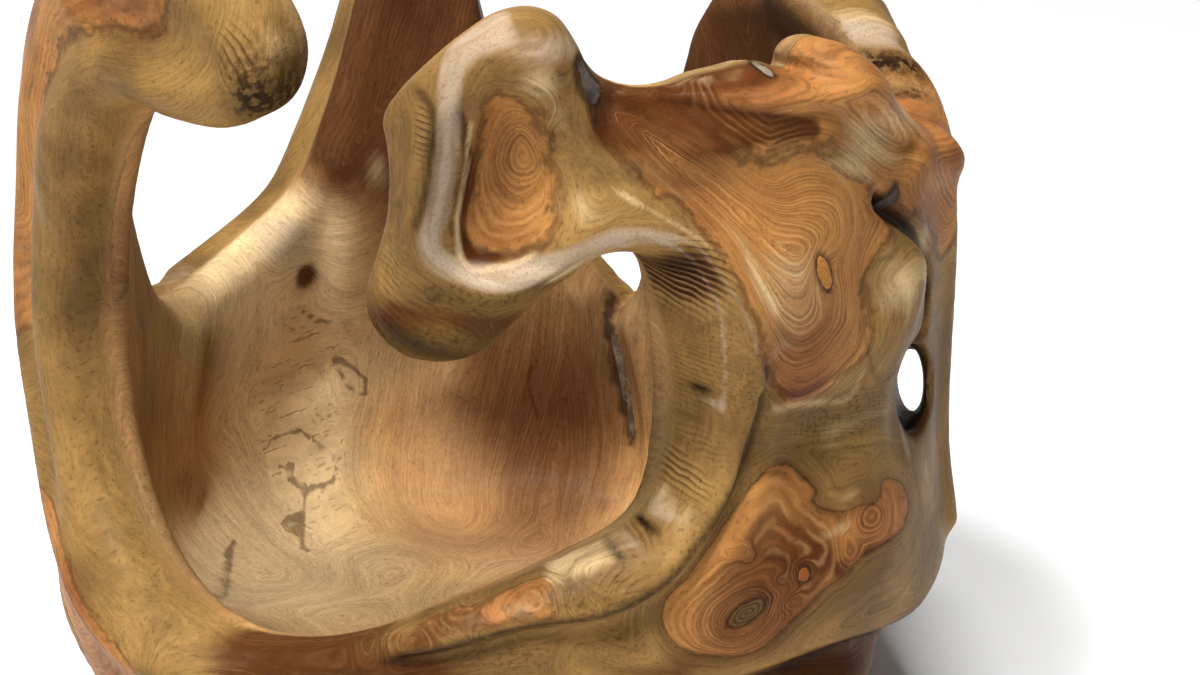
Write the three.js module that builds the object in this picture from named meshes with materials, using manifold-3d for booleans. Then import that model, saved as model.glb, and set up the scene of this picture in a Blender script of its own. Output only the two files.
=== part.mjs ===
// A decorative bowl carved from one teak root, with its crack fillings and the knots that grew into it.
// Units are millimetres, +Z is up and the open C of the rim faces -Y. The origin is on the floor, under
// the middle of the bowl's box.
//
// The wood is one solid. Its wall is a thick sheet that follows a drum: the rim is drawn on the unrolled
// drum, as an angle from the front (positive to the right) and a height, and the sheet swells and thins
// from place to place. The sheet, the root legs and the tunnel make up a distance field, and the skin of
// the wood is where that field is zero. Fillings and knots are let into it, flush with its skin.

import * as THREE from "three";
import Module from "manifold-3d";
import { triTable } from "three/addons/objects/MarchingCubes.js";
import { mergeVertices } from "three/addons/utils/BufferGeometryUtils.js";

const wasm = await Module();
wasm.setup();

// Driving dimensions
const DRUM_RADIUS = 186; // middle of the wall, from the axis
const DRUM_WIDER = 6; // how much further out the wall's middle runs at the sides than at front and back
const FLOOR_MIDDLE = 36; // height of the middle of the floor's thickness
const BOTTOM_CORNER = 62; // radius at which the floor turns up into the wall, at the middle of the thickness
const WALL_OUT = 21; // from the wall's middle to its outer skin
const WALL_IN = 17; // from the wall's middle to its inner skin
const EDGE_ROUND = 13; // rounding of the rim
const MOST_ROUND = 0.9; // the most of half the wall that the rounding may take
const UNROLLED_RADIUS = DRUM_RADIUS + 14; // where the drum is unrolled, near its outer skin
const FIT = 0.3; // gap between a filling or knot and its pocket

// The rim line round the bowl, as [degrees from the front, height]
const RIM = [
  // far side, from straight behind to the left: a broad finger
  [-180, 250], [-178.5, 285], [-176.5, 318], [-174.2, 355], [-170, 381], [-164, 384], [-159.6, 370],
  [-156, 328], [-152, 281], [-148.8, 254], [-145.5, 236], [-141, 223], [-134, 211], [-124, 200],
  [-114, 196],
  // left arm, which rises, bends over to the right and ends in a knob
  [-106, 214], [-99, 255], [-93, 310], [-85, 362], [-75, 400], [-63, 424], [-50, 434], [-40, 434],
  [-31, 426], [-26.2, 409], [-24, 388], [-26, 367], [-32, 356], [-41, 356], [-49, 359], [-56, 344],
  [-63, 310], [-68, 265], [-69, 222], [-65, 180], [-57, 146], [-47, 127], [-38, 121],
  // low near rim, up round the open C
  [-30, 122], [-21, 128], [-12, 139], [-4, 150], [4, 158], [11, 166], [17, 172], [22, 179], [25.5, 190],
  [27.8, 205], [29.3, 222], [29.3, 238], [28.2, 254], [26.6, 268], [24.7, 282], [22.4, 299],
  [19, 310], [14.5, 311],
  // the hook: its under edge, its tip, its left side and its crown
  [10.5, 301], [6.4, 287], [2.7, 273], [-0.5, 264.5], [-3.5, 261], [-6.5, 260.5], [-9.8, 263],
  [-12.6, 270], [-14.6, 280], [-15.2, 292], [-14.1, 308], [-12.6, 325], [-11.8, 342], [-11.7, 358],
  [-11.9, 368], [-10.7, 376], [-6, 390], [-1.5, 401], [2.5, 408.5], [6.5, 410.5], [9.6, 407],
  [11.3, 400], [12.8, 390], [15, 381.5],
  // crest of the right-hand mass, with its small steps
  [19, 376], [24, 375], [29, 377.5], [33, 378.5], [36.5, 379.5], [40, 378], [43, 375],
  [44, 376], [44.7, 381], [46.6, 385], [50, 384.5], [53, 378.5], [56, 370], [60, 356],
  [64, 345.5], [69, 334.5], [74, 329],
  // right and rear right
  [79, 330], [85, 338], [92, 350], [100, 364], [107, 374], [113, 374], [119, 362], [126, 351],
  [134, 346], [141.2, 341], [144.3, 330], [147, 315], [148.4, 298], [150, 272], [152.4, 232],
  [154.9, 193], [157.2, 166], [160.2, 158.5], [163.6, 172], [168, 190], [174.5, 219],
];

// Where the whole wall leans: [degrees, height, half width around, half height, millimetres outwards]
const LEANS = [
  [108, 404, 110, 66, -57],
  [-70, 400, 110, 70, -8],
  [-165, 380, 60, 90, 6],
  [78, 62, 90, 27, -18],
];

// Swellings and hollows of the outer skin, in the same form
const OUTER_SWELLS = [
  [39, 292, 38, 42, 9],
  [59, 268, 20, 30, 11],
  [42, 212, 34, 18, -9],
  [62, 206, 12, 18, -4],
  [48, 146, 56, 34, 13],
  [78, 112, 60, 30, 5],
  [86, 58, 90, 24, -16],
  [24, 368, 34, 12, -7],
  [50, 366, 50, 12, 4],
  [5, 348, 26, 34, -9],
  [-20, 92, 70, 30, -9],
  [-60, 330, 50, 40, 6],
  [-88, 210, 70, 60, 5],
  [-120, 120, 60, 50, 6],
  [-165, 200, 60, 80, 6],
  [165, 110, 50, 40, 7],
  [122, 230, 46, 70, 6],
];

// Swellings and hollows of the inner skin, in the same form, millimetres inwards
const INNER_SWELLS = [
  [29, 228, 34, 62, 14],
  [20, 384, 30, 26, -7],
  [86, 186, 60, 50, 10],
  [-168, 230, 50, 60, 6],
  [150, 150, 22, 70, 7],
  [170, 150, 22, 70, 6],
  [-90, 180, 60, 60, 4],
  [-150, 120, 60, 30, -4],
];

// Where the rim is cut on the slant: the outer edge stands back by this and the inner edge forward
const SLANTS = [
  [30, 232, 60, 66, 7],
  [34, 384, 60, 20, 5],
];

// Where the rim is rounded more or less than elsewhere
const ROUNDINGS = [
  [29, 222, 50, 66, -6],
  [20, 380, 40, 16, -5],
  [-4, 300, 50, 60, 4],
  [-28, 390, 30, 30, -5],
];

// Ridges and grooves along a path of [degrees, height]: how wide they are to the left and to the right
// of the path, as it runs, and how far they rise
const OUTER_LINES = [
  // the broad ridge down the hook, round its tip and on over the open C
  {
    path: [
      [3, 410], [-2, 396], [-4.6, 374], [-5.4, 352], [-6.5, 330], [-5.7, 312], [-2.5, 301], [3, 299],
      [10, 308], [16, 316], [21, 315], [26, 302], [30, 284], [32.5, 264], [33.4, 240],
    ],
    left: 10,
    right: 10,
    rise: 5,
  },
  // left and lower edge of the dish in the hook
  {
    path: [
      [3.4, 388], [2.2, 378], [1, 364], [-0.1, 348], [-1.1, 332], [-1.2, 319], [0.6, 310.5], [5, 309],
    ],
    left: 18,
    right: 6,
    rise: -5,
  },
  // scooped facet on the left flank of the hook
  {
    path: [[-8, 379], [-8.4, 360], [-9, 338], [-10.2, 314], [-11, 294]],
    left: 5,
    right: 12,
    rise: -4,
  },
  // crease between the band round the C and the mass behind it
  {
    path: [
      [33.6, 266], [34.4, 240], [33, 212], [30, 188], [26, 169], [21, 154], [14, 145], [6, 143],
      [-2, 134], [-12, 124],
    ],
    left: 9,
    right: 6,
    rise: -8,
  },
  // valley under the crest
  {
    path: [[14, 382], [18.8, 374], [25, 369.5], [32, 364], [39.2, 362], [48, 358], [56, 344], [64, 323]],
    left: 5,
    right: 11,
    rise: -7,
  },
  // fissure behind the shoulder, down to the tunnel's mouth
  {
    path: [[52.6, 317], [55.5, 306], [60, 293], [64.5, 278], [68.5, 262], [70, 244], [68, 226]],
    left: 7,
    right: 6,
    rise: -9,
  },
  // the strip of root outside the tunnel
  {
    path: [[72, 330], [78, 290], [83, 240], [86, 190], [86, 150], [78, 118]],
    left: 11,
    right: 10,
    rise: 6,
  },
  // tuck under the lower bulge, and the roll below it
  { path: [[30, 100], [47.5, 103], [59.4, 95], [72, 84], [88, 74]], left: 6, right: 10, rise: -9 },
  { path: [[36, 82], [50, 80], [61, 70], [68, 58]], left: 8, right: 8, rise: 5 },
  // strand up the left arm
  {
    path: [[-30, 98], [-50, 108], [-74, 150], [-86, 220], [-82, 300], [-68, 372], [-52, 404]],
    left: 16,
    right: 10,
    rise: 9,
  },
  // strands and valleys round the left and the back
  {
    path: [[-96, 250], [-104, 196], [-122, 150], [-146, 128], [-172, 96], [-188, 54]],
    left: 12,
    right: 17,
    rise: 9,
  },
  { path: [[-92, 178], [-108, 120], [-112, 70], [-104, 34]], left: 13, right: 12, rise: 8 },
  { path: [[-97, 226], [-99, 190], [-94, 150], [-84, 100], [-66, 62]], left: 10, right: 9, rise: -8 },
  { path: [[-118, 196], [-128, 176], [-146, 160], [-164, 128], [-178, 112]], left: 8, right: 9, rise: -8 },
  {
    path: [[-160, 366], [-158, 300], [-150, 232], [-154, 170], [-146, 104], [-152, 44]],
    left: 15,
    right: 12,
    rise: 9,
  },
  { path: [[-172, 352], [-169, 290], [-172, 226], [-163, 170]], left: 10, right: 7, rise: -6 },
  { path: [[-182, 232], [-190, 180], [-184, 132], [-196, 84], [-192, 40]], left: 11, right: 9, rise: -9 },
  { path: [[-198, 178], [-206, 150], [-204, 100], [-214, 56]], left: 14, right: 10, rise: 8 },
  // strands and valleys down the rear right
  {
    path: [[148, 318], [150, 256], [140, 190], [146, 132], [134, 84], [136, 40]],
    left: 12,
    right: 16,
    rise: 9,
  },
  { path: [[132, 346], [124, 296], [133, 232], [126, 176], [130, 120]], left: 8, right: 11, rise: -9 },
  {
    path: [[110, 362], [104, 300], [116, 236], [112, 178], [118, 120], [108, 64]],
    left: 13,
    right: 10,
    rise: 8,
  },
  { path: [[96, 350], [93, 290], [98, 240]], left: 8, right: 9, rise: -6 },
];

const INNER_LINES = [
  // two ridges down the far wall, with a crack between them
  { path: [[166, 176], [164.5, 146], [161.5, 112], [160, 84], [158, 60]], left: 7, right: 7, rise: 6 },
  { path: [[160, 178], [156, 146], [153, 112], [152, 88], [150, 60]], left: 7, right: 8, rise: 7 },
  // scooped planes of the inside
  { path: [[-178, 330], [-172, 250], [-176, 170], [-168, 100]], left: 12, right: 20, rise: 4 },
  { path: [[-150, 250], [-146, 180], [-150, 110]], left: 22, right: 12, rise: -4 },
  { path: [[-118, 190], [-112, 130], [-116, 80]], left: 14, right: 14, rise: 5 },
  { path: [[-76, 330], [-84, 250], [-80, 160], [-84, 90]], left: 16, right: 12, rise: -5 },
  { path: [[122, 330], [118, 250], [122, 160], [116, 90]], left: 14, right: 14, rise: 5 },
  { path: [[46, 370], [52, 300], [48, 230], [54, 150], [50, 90]], left: 16, right: 14, rise: -4 },
];

// The rolled lip: the outer skin stands prouder a little way in from the rim
const LIP = { rise: 5.5, inset: 18, width: 12 };

// The tunnel behind the outermost strip of root, as points on its middle line: [degrees, millimetres out
// from the wall's middle, height]
const TUNNEL = [[61, 34, 217], [68, 16, 206], [78, 3.5, 193], [90, 3, 179], [103, 16, 164], [117, 44, 148]];
const TUNNEL_ROUND = [10.5, 20]; // half its width and half its height
const TUNNEL_BLEND = 9; // rounding of its mouths

// The root legs, as [degrees, how far out the knee reaches, radius of the knee, how far in from the knee
// the foot stands]
const LEGS = [
  [22, 158, 30, 10],
  [84, 173, 29, 14],
  [133, 160, 33, 6],
  [-165, 164, 29, 10],
  [-108, 172, 31, 12],
  [-46, 156, 30, 8],
];
const LEG_HIP = 62; // where a leg starts, from the axis
const LEG_DROP = 5; // middle of the hip below the middle of the floor
const HIP_RADIUS = 24;
const KNEE_HEIGHT = 34; // middle of the knee above the floor it stands on
const FOOT_SHARE = 0.84; // the foot's radius, in knees
const LEG_BLEND = 24;
const LEG_TOP = 120; // no leg is felt above this height
const FOOT_SPARE = 12; // how far a foot runs below the floor before it is cut level

// The slow unevenness of a hand-carved surface: three crossed waves, each bent by another
const LUMPS = { rise: 1.1, length: 30, bend: 1.5, slower: 0.6 };

const RADIAN = Math.PI / 180;
const TURN = 2 * Math.PI * UNROLLED_RADIUS;

// The lesser of two distances, rounded over a width where they meet
function blend(a, b, width) {
  const h = Math.max(width - Math.abs(a - b), 0) / width;
  return Math.min(a, b) - (h * h * width) / 4;
}

const carve = (solid, hole, width) => -blend(-solid, hole, width);

// A smooth polyline on the unrolled drum through points given as [degrees, height]
const STEPS = 5; // straight pieces for each point
function smoothPath(points) {
  const flat = points.map(([degrees, z]) => new THREE.Vector3(degrees * RADIAN * UNROLLED_RADIUS, z, 0));
  const curve = new THREE.CatmullRomCurve3(flat, false, "centripetal");
  return curve.getPoints(points.length * STEPS).map((p) => [p.x, p.y]);
}

// Offset from a polyline: how far (px, py) is from it, and on which side (positive to the left)
function offsetFrom(line, px, py, reach) {
  let nearest = reach;
  let side = 1;
  for (let i = 1; i < line.length; i++) {
    const [ax, ay] = line[i - 1];
    const dx = line[i][0] - ax;
    const dy = line[i][1] - ay;
    const t = Math.min(Math.max(((px - ax) * dx + (py - ay) * dy) / (dx * dx + dy * dy), 0), 1);
    const distance = Math.hypot(px - ax - dx * t, py - ay - dy * t);
    if (distance < nearest) {
      nearest = distance;
      side = dx * (py - ay) - dy * (px - ax) < 0 ? -1 : 1;
    }
  }
  return nearest * side;
}

// The rim as one polyline that runs past a full turn at both ends, so that it wraps
const rimLine = smoothPath([-360, 0, 360].flatMap((turn) => RIM.map(([degrees, z]) => [degrees + turn, z])));

// Signed distance from the rim line on the unrolled drum: negative in the wood, where a line upwards
// crosses the rim an odd number of times
const FAR = 150; // no need to know a distance beyond this
function rimDistance(around, height) {
  const near = rimLine.filter(([a]) => Math.abs(a - around) < FAR);
  let above = 0;
  for (let i = 1; i < rimLine.length; i++) {
    const [a, za] = rimLine[i - 1];
    const [b, zb] = rimLine[i];
    if (a > around !== b > around && za + ((zb - za) * (around - a)) / (b - a) > height) above += 1;
  }
  return Math.abs(offsetFrom(near, around, height, FAR)) * (above % 2 ? -1 : 1);
}

// Nearest way round the drum from an angle to a place on it, in millimetres
function wayRound(around, degrees) {
  const turns = (around - degrees * RADIAN * UNROLLED_RADIUS) / TURN;
  return (turns - Math.round(turns)) * TURN;
}

function swelling(swells, around, height) {
  let out = 0;
  for (const [degrees, middle, wide, tall, amount] of swells) {
    const a = wayRound(around, degrees) / wide;
    const b = (height - middle) / tall;
    out += amount * Math.exp(-(a * a + b * b));
  }
  return out;
}

const REACH = 3; // widths beyond which a ridge or groove is nothing
function smoothed(line) {
  const path = smoothPath(line.path);
  const reach = REACH * Math.max(line.left, line.right);
  const box = new THREE.Box2().setFromPoints(path.map(([a, z]) => new THREE.Vector2(a, z)));
  return { ...line, start: line.path[0][0], path, reach, box: box.expandByScalar(reach) };
}
const outerLines = OUTER_LINES.map(smoothed);
const innerLines = INNER_LINES.map(smoothed);

function lining(lines, around, height) {
  let out = 0;
  for (const { path, start, left, right, rise, reach, box } of lines) {
    const here = start * RADIAN * UNROLLED_RADIUS + wayRound(around, start);
    if (!box.containsPoint({ x: here, y: height })) continue;
    const offset = offsetFrom(path, here, height, reach);
    out += rise * Math.exp(-((offset / (offset > 0 ? left : right)) ** 2));
  }
  return out;
}

const lip = (edge) => LIP.rise * Math.exp(-(((-edge - LIP.inset) / LIP.width) ** 2));

// What the unrolled drum says at each place: the distance to the rim, the reach of both skins from the
// wall's middle, the rim's slant and its rounding
function wallAt(around, height) {
  const edge = rimDistance(around, height);
  const lean = swelling(LEANS, around, height);
  const outer = swelling(OUTER_SWELLS, around, height) + lining(outerLines, around, height);
  const inner = swelling(INNER_SWELLS, around, height) + lining(innerLines, around, height);
  return [
    edge,
    WALL_OUT + lean + lip(edge) + outer,
    WALL_IN - lean + inner,
    swelling(SLANTS, around, height),
    EDGE_ROUND + swelling(ROUNDINGS, around, height),
  ];
}

// The same on a grid of the unrolled drum, which is read between its points
const MAP_STEP = 3;
const MAP_TOP = Math.max(...RIM.map(([, height]) => height)) + 2 * EDGE_ROUND;
function wallMap() {
  const columns = Math.round(TURN / MAP_STEP);
  const rows = Math.ceil(MAP_TOP / MAP_STEP);
  const map = [];
  for (let i = 0; i < columns; i++)
    for (let j = 0; j <= rows; j++) map.push(wallAt((i / columns - 0.5) * TURN, j * MAP_STEP));
  return (angle, height) => {
    const u = ((angle / (2 * Math.PI) + 0.5) * columns + columns) % columns;
    const v = Math.min(Math.max(height / MAP_STEP, 0), rows);
    const [i, j] = [Math.floor(u) % columns, Math.min(Math.floor(v), rows - 1)];
    const [s, t] = [u - Math.floor(u), v - j];
    const here = i * (rows + 1) + j;
    const next = ((i + 1) % columns) * (rows + 1) + j;
    const corners = [map[here], map[next], map[here + 1], map[next + 1]];
    const shares = [(1 - s) * (1 - t), s * (1 - t), (1 - s) * t, s * t];
    return map[here].map((_, c) => corners.reduce((sum, corner, n) => sum + corner[c] * shares[n], 0));
  };
}
const readWall = wallMap();

const drumRadius = (angle) => DRUM_RADIUS + DRUM_WIDER * Math.sin(angle) ** 2;

// Signed distance from the wall's middle surface: a drum with a rounded bottom corner and a flat floor
function acrossWall(radius, angle, height) {
  const out = radius - (drumRadius(angle) - BOTTOM_CORNER);
  const down = FLOOR_MIDDLE + BOTTOM_CORNER - height;
  return Math.hypot(Math.max(out, 0), Math.max(down, 0)) + Math.min(Math.max(out, down), 0) - BOTTOM_CORNER;
}

// A sheet's face distance and edge distance joined by a rounded corner
function roundedCorner(face, edge, radius) {
  const a = face + radius;
  const b = edge + radius;
  return Math.hypot(Math.max(a, 0), Math.max(b, 0)) + Math.min(Math.max(a, b), 0) - radius;
}

// Distance from a round bar that tapers from one end to the other
function barDistance(point, from, to, startRadius, endRadius) {
  const along = to.clone().sub(from);
  const share = Math.min(Math.max(point.clone().sub(from).dot(along) / along.lengthSq(), 0), 1);
  const radius = startRadius + (endRadius - startRadius) * share;
  return from.clone().addScaledVector(along, share).distanceTo(point) - radius;
}

// The point at an angle from the front, a radius from the axis and a height
function onDrum(degrees, radius, height) {
  return new THREE.Vector3(Math.sin(degrees * RADIAN) * radius, -Math.cos(degrees * RADIAN) * radius, height);
}

const legs = LEGS.map(([degrees, reach, knee, stepIn]) => {
  const at = (radius, height) => onDrum(degrees, radius, height);
  return {
    hip: at(LEG_HIP, FLOOR_MIDDLE - LEG_DROP),
    knee: at(reach - knee, KNEE_HEIGHT),
    foot: at(reach - knee - stepIn, 0),
    radius: knee,
  };
});

function legDistance(point, { hip, knee, foot, radius }) {
  const thigh = barDistance(point, hip, knee, HIP_RADIUS, radius);
  return blend(thigh, barDistance(point, knee, foot, radius, radius * FOOT_SHARE), LEG_BLEND);
}

const tunnelPoints = TUNNEL.map(([degrees, out, height]) =>
  onDrum(degrees, drumRadius(degrees * RADIAN) + out, height).toArray(),
);

function tunnelDistance(x, y, z) {
  let nearest = Infinity;
  for (let i = 1; i < tunnelPoints.length; i++) {
    const [ax, ay, az] = tunnelPoints[i - 1];
    const [bx, by, bz] = tunnelPoints[i];
    const t = Math.min(Math.max((y - ay) / (by - ay), 0), 1);
    const across = Math.hypot(x - ax - (bx - ax) * t, y - ay - (by - ay) * t) / TUNNEL_ROUND[0];
    const up = (z - az - (bz - az) * t) / TUNNEL_ROUND[1];
    nearest = Math.min(nearest, (Math.hypot(across, up) - 1) * TUNNEL_ROUND[0]);
  }
  return nearest;
}

function lumps(x, y, z) {
  const wave = (along, beside) =>
    Math.sin(along / LUMPS.length + LUMPS.bend * Math.sin((LUMPS.slower * beside) / LUMPS.length));
  return LUMPS.rise * (wave(x, z) + wave(y, x) + wave(z, y));
}

// The wood, from the drum's own axis: negative inside
function wood(x, y, z) {
  const radius = Math.hypot(x, y);
  const angle = Math.atan2(x, -y);
  const [edge, outer, inner, slant, rounding] = readWall(angle, z);
  const across = acrossWall(radius, angle, z);
  const half = (outer + inner) / 2;
  const middle = (outer - inner) / 2;
  const face = Math.abs(across - middle) - half;
  const lean = slant * Math.min(Math.max((across - middle) / half, -1), 1);
  let d = roundedCorner(face, edge + lean, Math.min(rounding, MOST_ROUND * half));
  const point = new THREE.Vector3(x, y, z);
  if (z < LEG_TOP)
    for (const leg of legs) d = blend(d, Math.max(legDistance(point, leg), -across), LEG_BLEND);
  d = carve(d, tunnelDistance(x, y, z), TUNNEL_BLEND);
  return Math.max(d - lumps(x, y, z), -z - FOOT_SPARE);
}

// Grid of boxes that the skin is drawn on: finer where the rim is most shaped, at the front and the right
const COARSE = 19;
const FINE = 14.5;
const FINEST = 0.9 * TUNNEL_ROUND[0]; // so that the boxes across the tunnel keep it open
const REACH_OUT = 52; // how far the box of the grid reaches past the wall's middle
const SPAN = DRUM_RADIUS + REACH_OUT;
const FINE_FROM = -60; // x and y where the finer boxes start and end
const FINEST_FROM = DRUM_RADIUS - WALL_IN; // x where the wall that holds the tunnel starts
const FINE_HEIGHTS = [56, 420];

function gridLines(low, high, step) {
  const found = [low];
  while (found.at(-1) < high) found.push(found.at(-1) + step(found.at(-1)));
  return found;
}

const grid = [
  gridLines(-SPAN, SPAN, (x) => (x >= FINEST_FROM ? FINEST : x >= FINE_FROM ? FINE : COARSE)),
  gridLines(-SPAN, SPAN, (y) => (y < FINE_FROM ? FINE : COARSE)),
  gridLines(-COARSE, MAP_TOP, (z) => (z > FINE_HEIGHTS[0] && z < FINE_HEIGHTS[1] ? FINE : COARSE)),
];

const CORNERS = [[0, 0, 0], [1, 0, 0], [1, 1, 0], [0, 1, 0], [0, 0, 1], [1, 0, 1], [1, 1, 1], [0, 1, 1]];
const EDGES = [
  [0, 1], [1, 2], [3, 2], [0, 3], [4, 5], [5, 6], [7, 6], [4, 7], [0, 4], [1, 5], [2, 6], [3, 7],
];
const LEAST = 0.07 * FINE; // a grid point this near the skin counts as this far, which keeps slivers out

// The closed skin where a field is zero
function skin(field, [xs, ys, zs]) {
  const [ny, nz] = [ys.length, zs.length];
  const at = (i, j, k) => (i * ny + j) * nz + k;
  const values = [];
  for (const x of xs)
    for (const y of ys)
      for (const z of zs) {
        const d = field(x, y, z);
        values.push(Math.abs(d) < LEAST ? (d < 0 ? -LEAST : LEAST) : d);
      }
  const points = [];
  const index = [];
  const made = new Map();
  const pointOn = (p, q) => {
    const a = at(...p);
    const b = at(...q);
    const key = a < b ? a * values.length + b : b * values.length + a;
    if (!made.has(key)) {
      const t = values[a] / (values[a] - values[b]);
      const between = (axis, n) => axis[p[n]] + (axis[q[n]] - axis[p[n]]) * t;
      made.set(key, points.length / 3);
      points.push(between(xs, 0), between(ys, 1), between(zs, 2));
    }
    return made.get(key);
  };
  for (let i = 0; i < xs.length - 1; i++)
    for (let j = 0; j < ny - 1; j++)
      for (let k = 0; k < nz - 1; k++) {
        const corners = CORNERS.map(([a, b, c]) => [i + a, j + b, k + c]);
        const kind = corners.reduce((sum, p, n) => sum + (values[at(...p)] < 0 ? 1 << n : 0), 0);
        for (let n = kind * 16; triTable[n] !== -1; n += 3) {
          const triangle = [2, 1, 0].map((e) => EDGES[triTable[n + e]]);
          index.push(...triangle.map(([p, q]) => pointOn(corners[p], corners[q])));
        }
      }
  return solidOf(new Float32Array(points), new Uint32Array(index));
}

function solidOf(points, index) {
  return new wasm.Manifold(new wasm.Mesh({ numProp: 3, vertProperties: points, triVerts: index }));
}

// A three.js geometry as a solid, and a solid as a named part
const SAME_POINT = 1e-4;
function solidFrom(geometry) {
  const bare = geometry.clone();
  bare.deleteAttribute("normal");
  bare.deleteAttribute("uv");
  const merged = mergeVertices(bare, SAME_POINT);
  return solidOf(new Float32Array(merged.attributes.position.array), new Uint32Array(merged.index.array));
}

function part(name, solid, material) {
  const mesh = solid.getMesh();
  const geometry = new THREE.BufferGeometry();
  geometry.setAttribute("position", new THREE.BufferAttribute(mesh.vertProperties, 3));
  geometry.setIndex(new THREE.BufferAttribute(mesh.triVerts, 1));
  geometry.computeVertexNormals();
  const made = new THREE.Mesh(geometry, material);
  made.name = name;
  return made;
}

// What sits in the wood, set in from the skin along an axis of its own: where it is on the drum as
// [degrees, height], how far its axis tips up from level, how long and wide it is, how far it is turned
// from upright, how much it bends sideways and how deep it goes. One is let in from inside the bowl.
const INLAYS = {
  hook_crack_filling: { at: [12.6, 384], tip: 10, long: 22, wide: 10, turn: 14, bend: 2, deep: 11 },
  crest_crack_filling: { at: [38.2, 374.5], tip: 52, long: 17, wide: 6, turn: -14, bend: 1, deep: 9 },
  shoulder_crack_filling: { at: [56.5, 308], tip: 0, long: 18, wide: 7, turn: -32, bend: 1.5, deep: 10 },
  wall_crack_filling: {
    at: [159.2, 126],
    inside: true,
    tip: 0,
    long: 88,
    wide: 6,
    turn: 12,
    bend: 3,
    deep: 8,
  },
  pin_knot: { at: [42.2, 291], tip: 0, long: 19, wide: 8, turn: 24, bend: 0, deep: 12 },
  swirl_knot: { at: [30.9, 142], tip: 0, long: 20, wide: 10, turn: -62, bend: 0, deep: 14 },
  burl_pin_knot: { at: [39.8, 151], tip: 0, long: 7, wide: 6, turn: 0, bend: 0, deep: 10 },
};
const PROUD = 20; // how far a blank stands out of the skin before it is cut flush

// The point where a line comes out of the wood, followed inwards from outside
function skinPoint(start, inwards) {
  const at = start.clone();
  const limit = 2 * REACH_OUT;
  let gone = 0;
  while (gone < limit && wood(at.x, at.y, at.z) > 0) {
    at.addScaledVector(inwards, 1);
    gone += 1;
  }
  return at;
}

// A closed outline like a leaf: two arcs between its ends, both bent to the same side
const OUTLINE_STEPS = 7;
function outline(long, wide, bend) {
  const shape = [];
  for (let i = 0; i < 2 * OUTLINE_STEPS; i++) {
    const turn = (i / OUTLINE_STEPS) * Math.PI;
    const along = Math.cos(turn);
    shape.push(new THREE.Vector2((Math.sin(turn) * wide) / 2 + bend * (1 - along ** 2), (along * long) / 2));
  }
  return new THREE.Shape(shape);
}

// The blank for an inlay or, with a gap all round, the cutter for its pocket
function inlayBlank({ at: [degrees, height], inside, tip, long, wide, turn, bend, deep }, gap) {
  const rise = tip * RADIAN;
  const outwards = onDrum(degrees, inside ? -Math.cos(rise) : Math.cos(rise), Math.sin(rise));
  const middle = onDrum(degrees, drumRadius(degrees * RADIAN), height);
  const face = skinPoint(middle.addScaledVector(outwards, REACH_OUT), outwards.clone().negate());
  const blank = new THREE.ExtrudeGeometry(outline(long + 2 * gap, wide + 2 * gap, bend), {
    depth: deep + gap + PROUD,
    bevelEnabled: false,
  });
  blank.translate(0, 0, -deep - gap);
  blank.rotateZ(turn * RADIAN);
  const across = new THREE.Vector3(-outwards.y, outwards.x, 0).normalize();
  const up = new THREE.Vector3().crossVectors(outwards, across);
  blank.applyMatrix4(new THREE.Matrix4().makeBasis(across, up, outwards).setPosition(face));
  return solidFrom(blank);
}

const teak = new THREE.MeshStandardMaterial({ color: 0xa8713a, roughness: 0.42, metalness: 0 });
const putty = new THREE.MeshStandardMaterial({ color: 0x77706a, roughness: 0.6, metalness: 0 });
const knotWood = new THREE.MeshStandardMaterial({ color: 0x8a5a2e, roughness: 0.5, metalness: 0 });

const bowl = new THREE.Group();
const uncut = skin(wood, grid).trimByPlane([0, 0, 1], 0);
let body = uncut;
for (const [name, inlay] of Object.entries(INLAYS)) {
  body = body.subtract(inlayBlank(inlay, FIT));
  bowl.add(part(name, inlayBlank(inlay, 0).intersect(uncut), name.endsWith("knot") ? knotWood : putty));
}
bowl.add(part("root_bowl", body, teak));

// The origin comes under the middle of the box
const middle = new THREE.Box3().setFromObject(bowl).getCenter(new THREE.Vector3());
bowl.position.set(-middle.x, -middle.y, 0);

export default bowl;
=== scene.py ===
"""A decorative bowl carved from one teak root, dressed for its photograph.

The wood is a field: negative inside, zero on the skin, in millimetres from the drum that its wall
follows. The same drum, unrolled to [degrees from the front, height], carries the grain: growth rings
as level lines, heartwood as closed outlines, and, as dabs and strokes, tool marks, a grey sheen that
is partly worn wood and partly painted highlight, and dark seams and dots that are partly painted shade.
"""
import math

import bpy
import numpy as np
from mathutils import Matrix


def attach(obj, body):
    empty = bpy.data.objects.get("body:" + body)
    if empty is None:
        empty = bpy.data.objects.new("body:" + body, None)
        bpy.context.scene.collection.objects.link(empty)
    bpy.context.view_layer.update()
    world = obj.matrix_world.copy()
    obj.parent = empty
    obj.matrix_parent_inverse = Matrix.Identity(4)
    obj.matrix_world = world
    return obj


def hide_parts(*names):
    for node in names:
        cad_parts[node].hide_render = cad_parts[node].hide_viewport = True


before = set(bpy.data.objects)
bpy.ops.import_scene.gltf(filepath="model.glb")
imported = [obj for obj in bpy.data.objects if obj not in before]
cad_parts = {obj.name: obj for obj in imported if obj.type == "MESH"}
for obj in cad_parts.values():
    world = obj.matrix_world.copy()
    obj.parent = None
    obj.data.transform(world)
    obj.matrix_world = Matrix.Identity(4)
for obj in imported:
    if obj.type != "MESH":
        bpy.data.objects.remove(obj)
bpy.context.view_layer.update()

bl_info = {
    "name": "Teak root bowl",
    "version": (1, 0, 0),
    "blender": (4, 5, 0),
    "location": "View3D > Sidebar > Root bowl",
    "description": "Makes a bowl carved from a teak root, its crack fillings and its knots, and a studio",
    "category": "Add Mesh",
}

MM = 0.001
AXIS = np.array([3.959, -1.958, 0.0])  # where the drum's axis stands in the part's frame, mm

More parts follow.
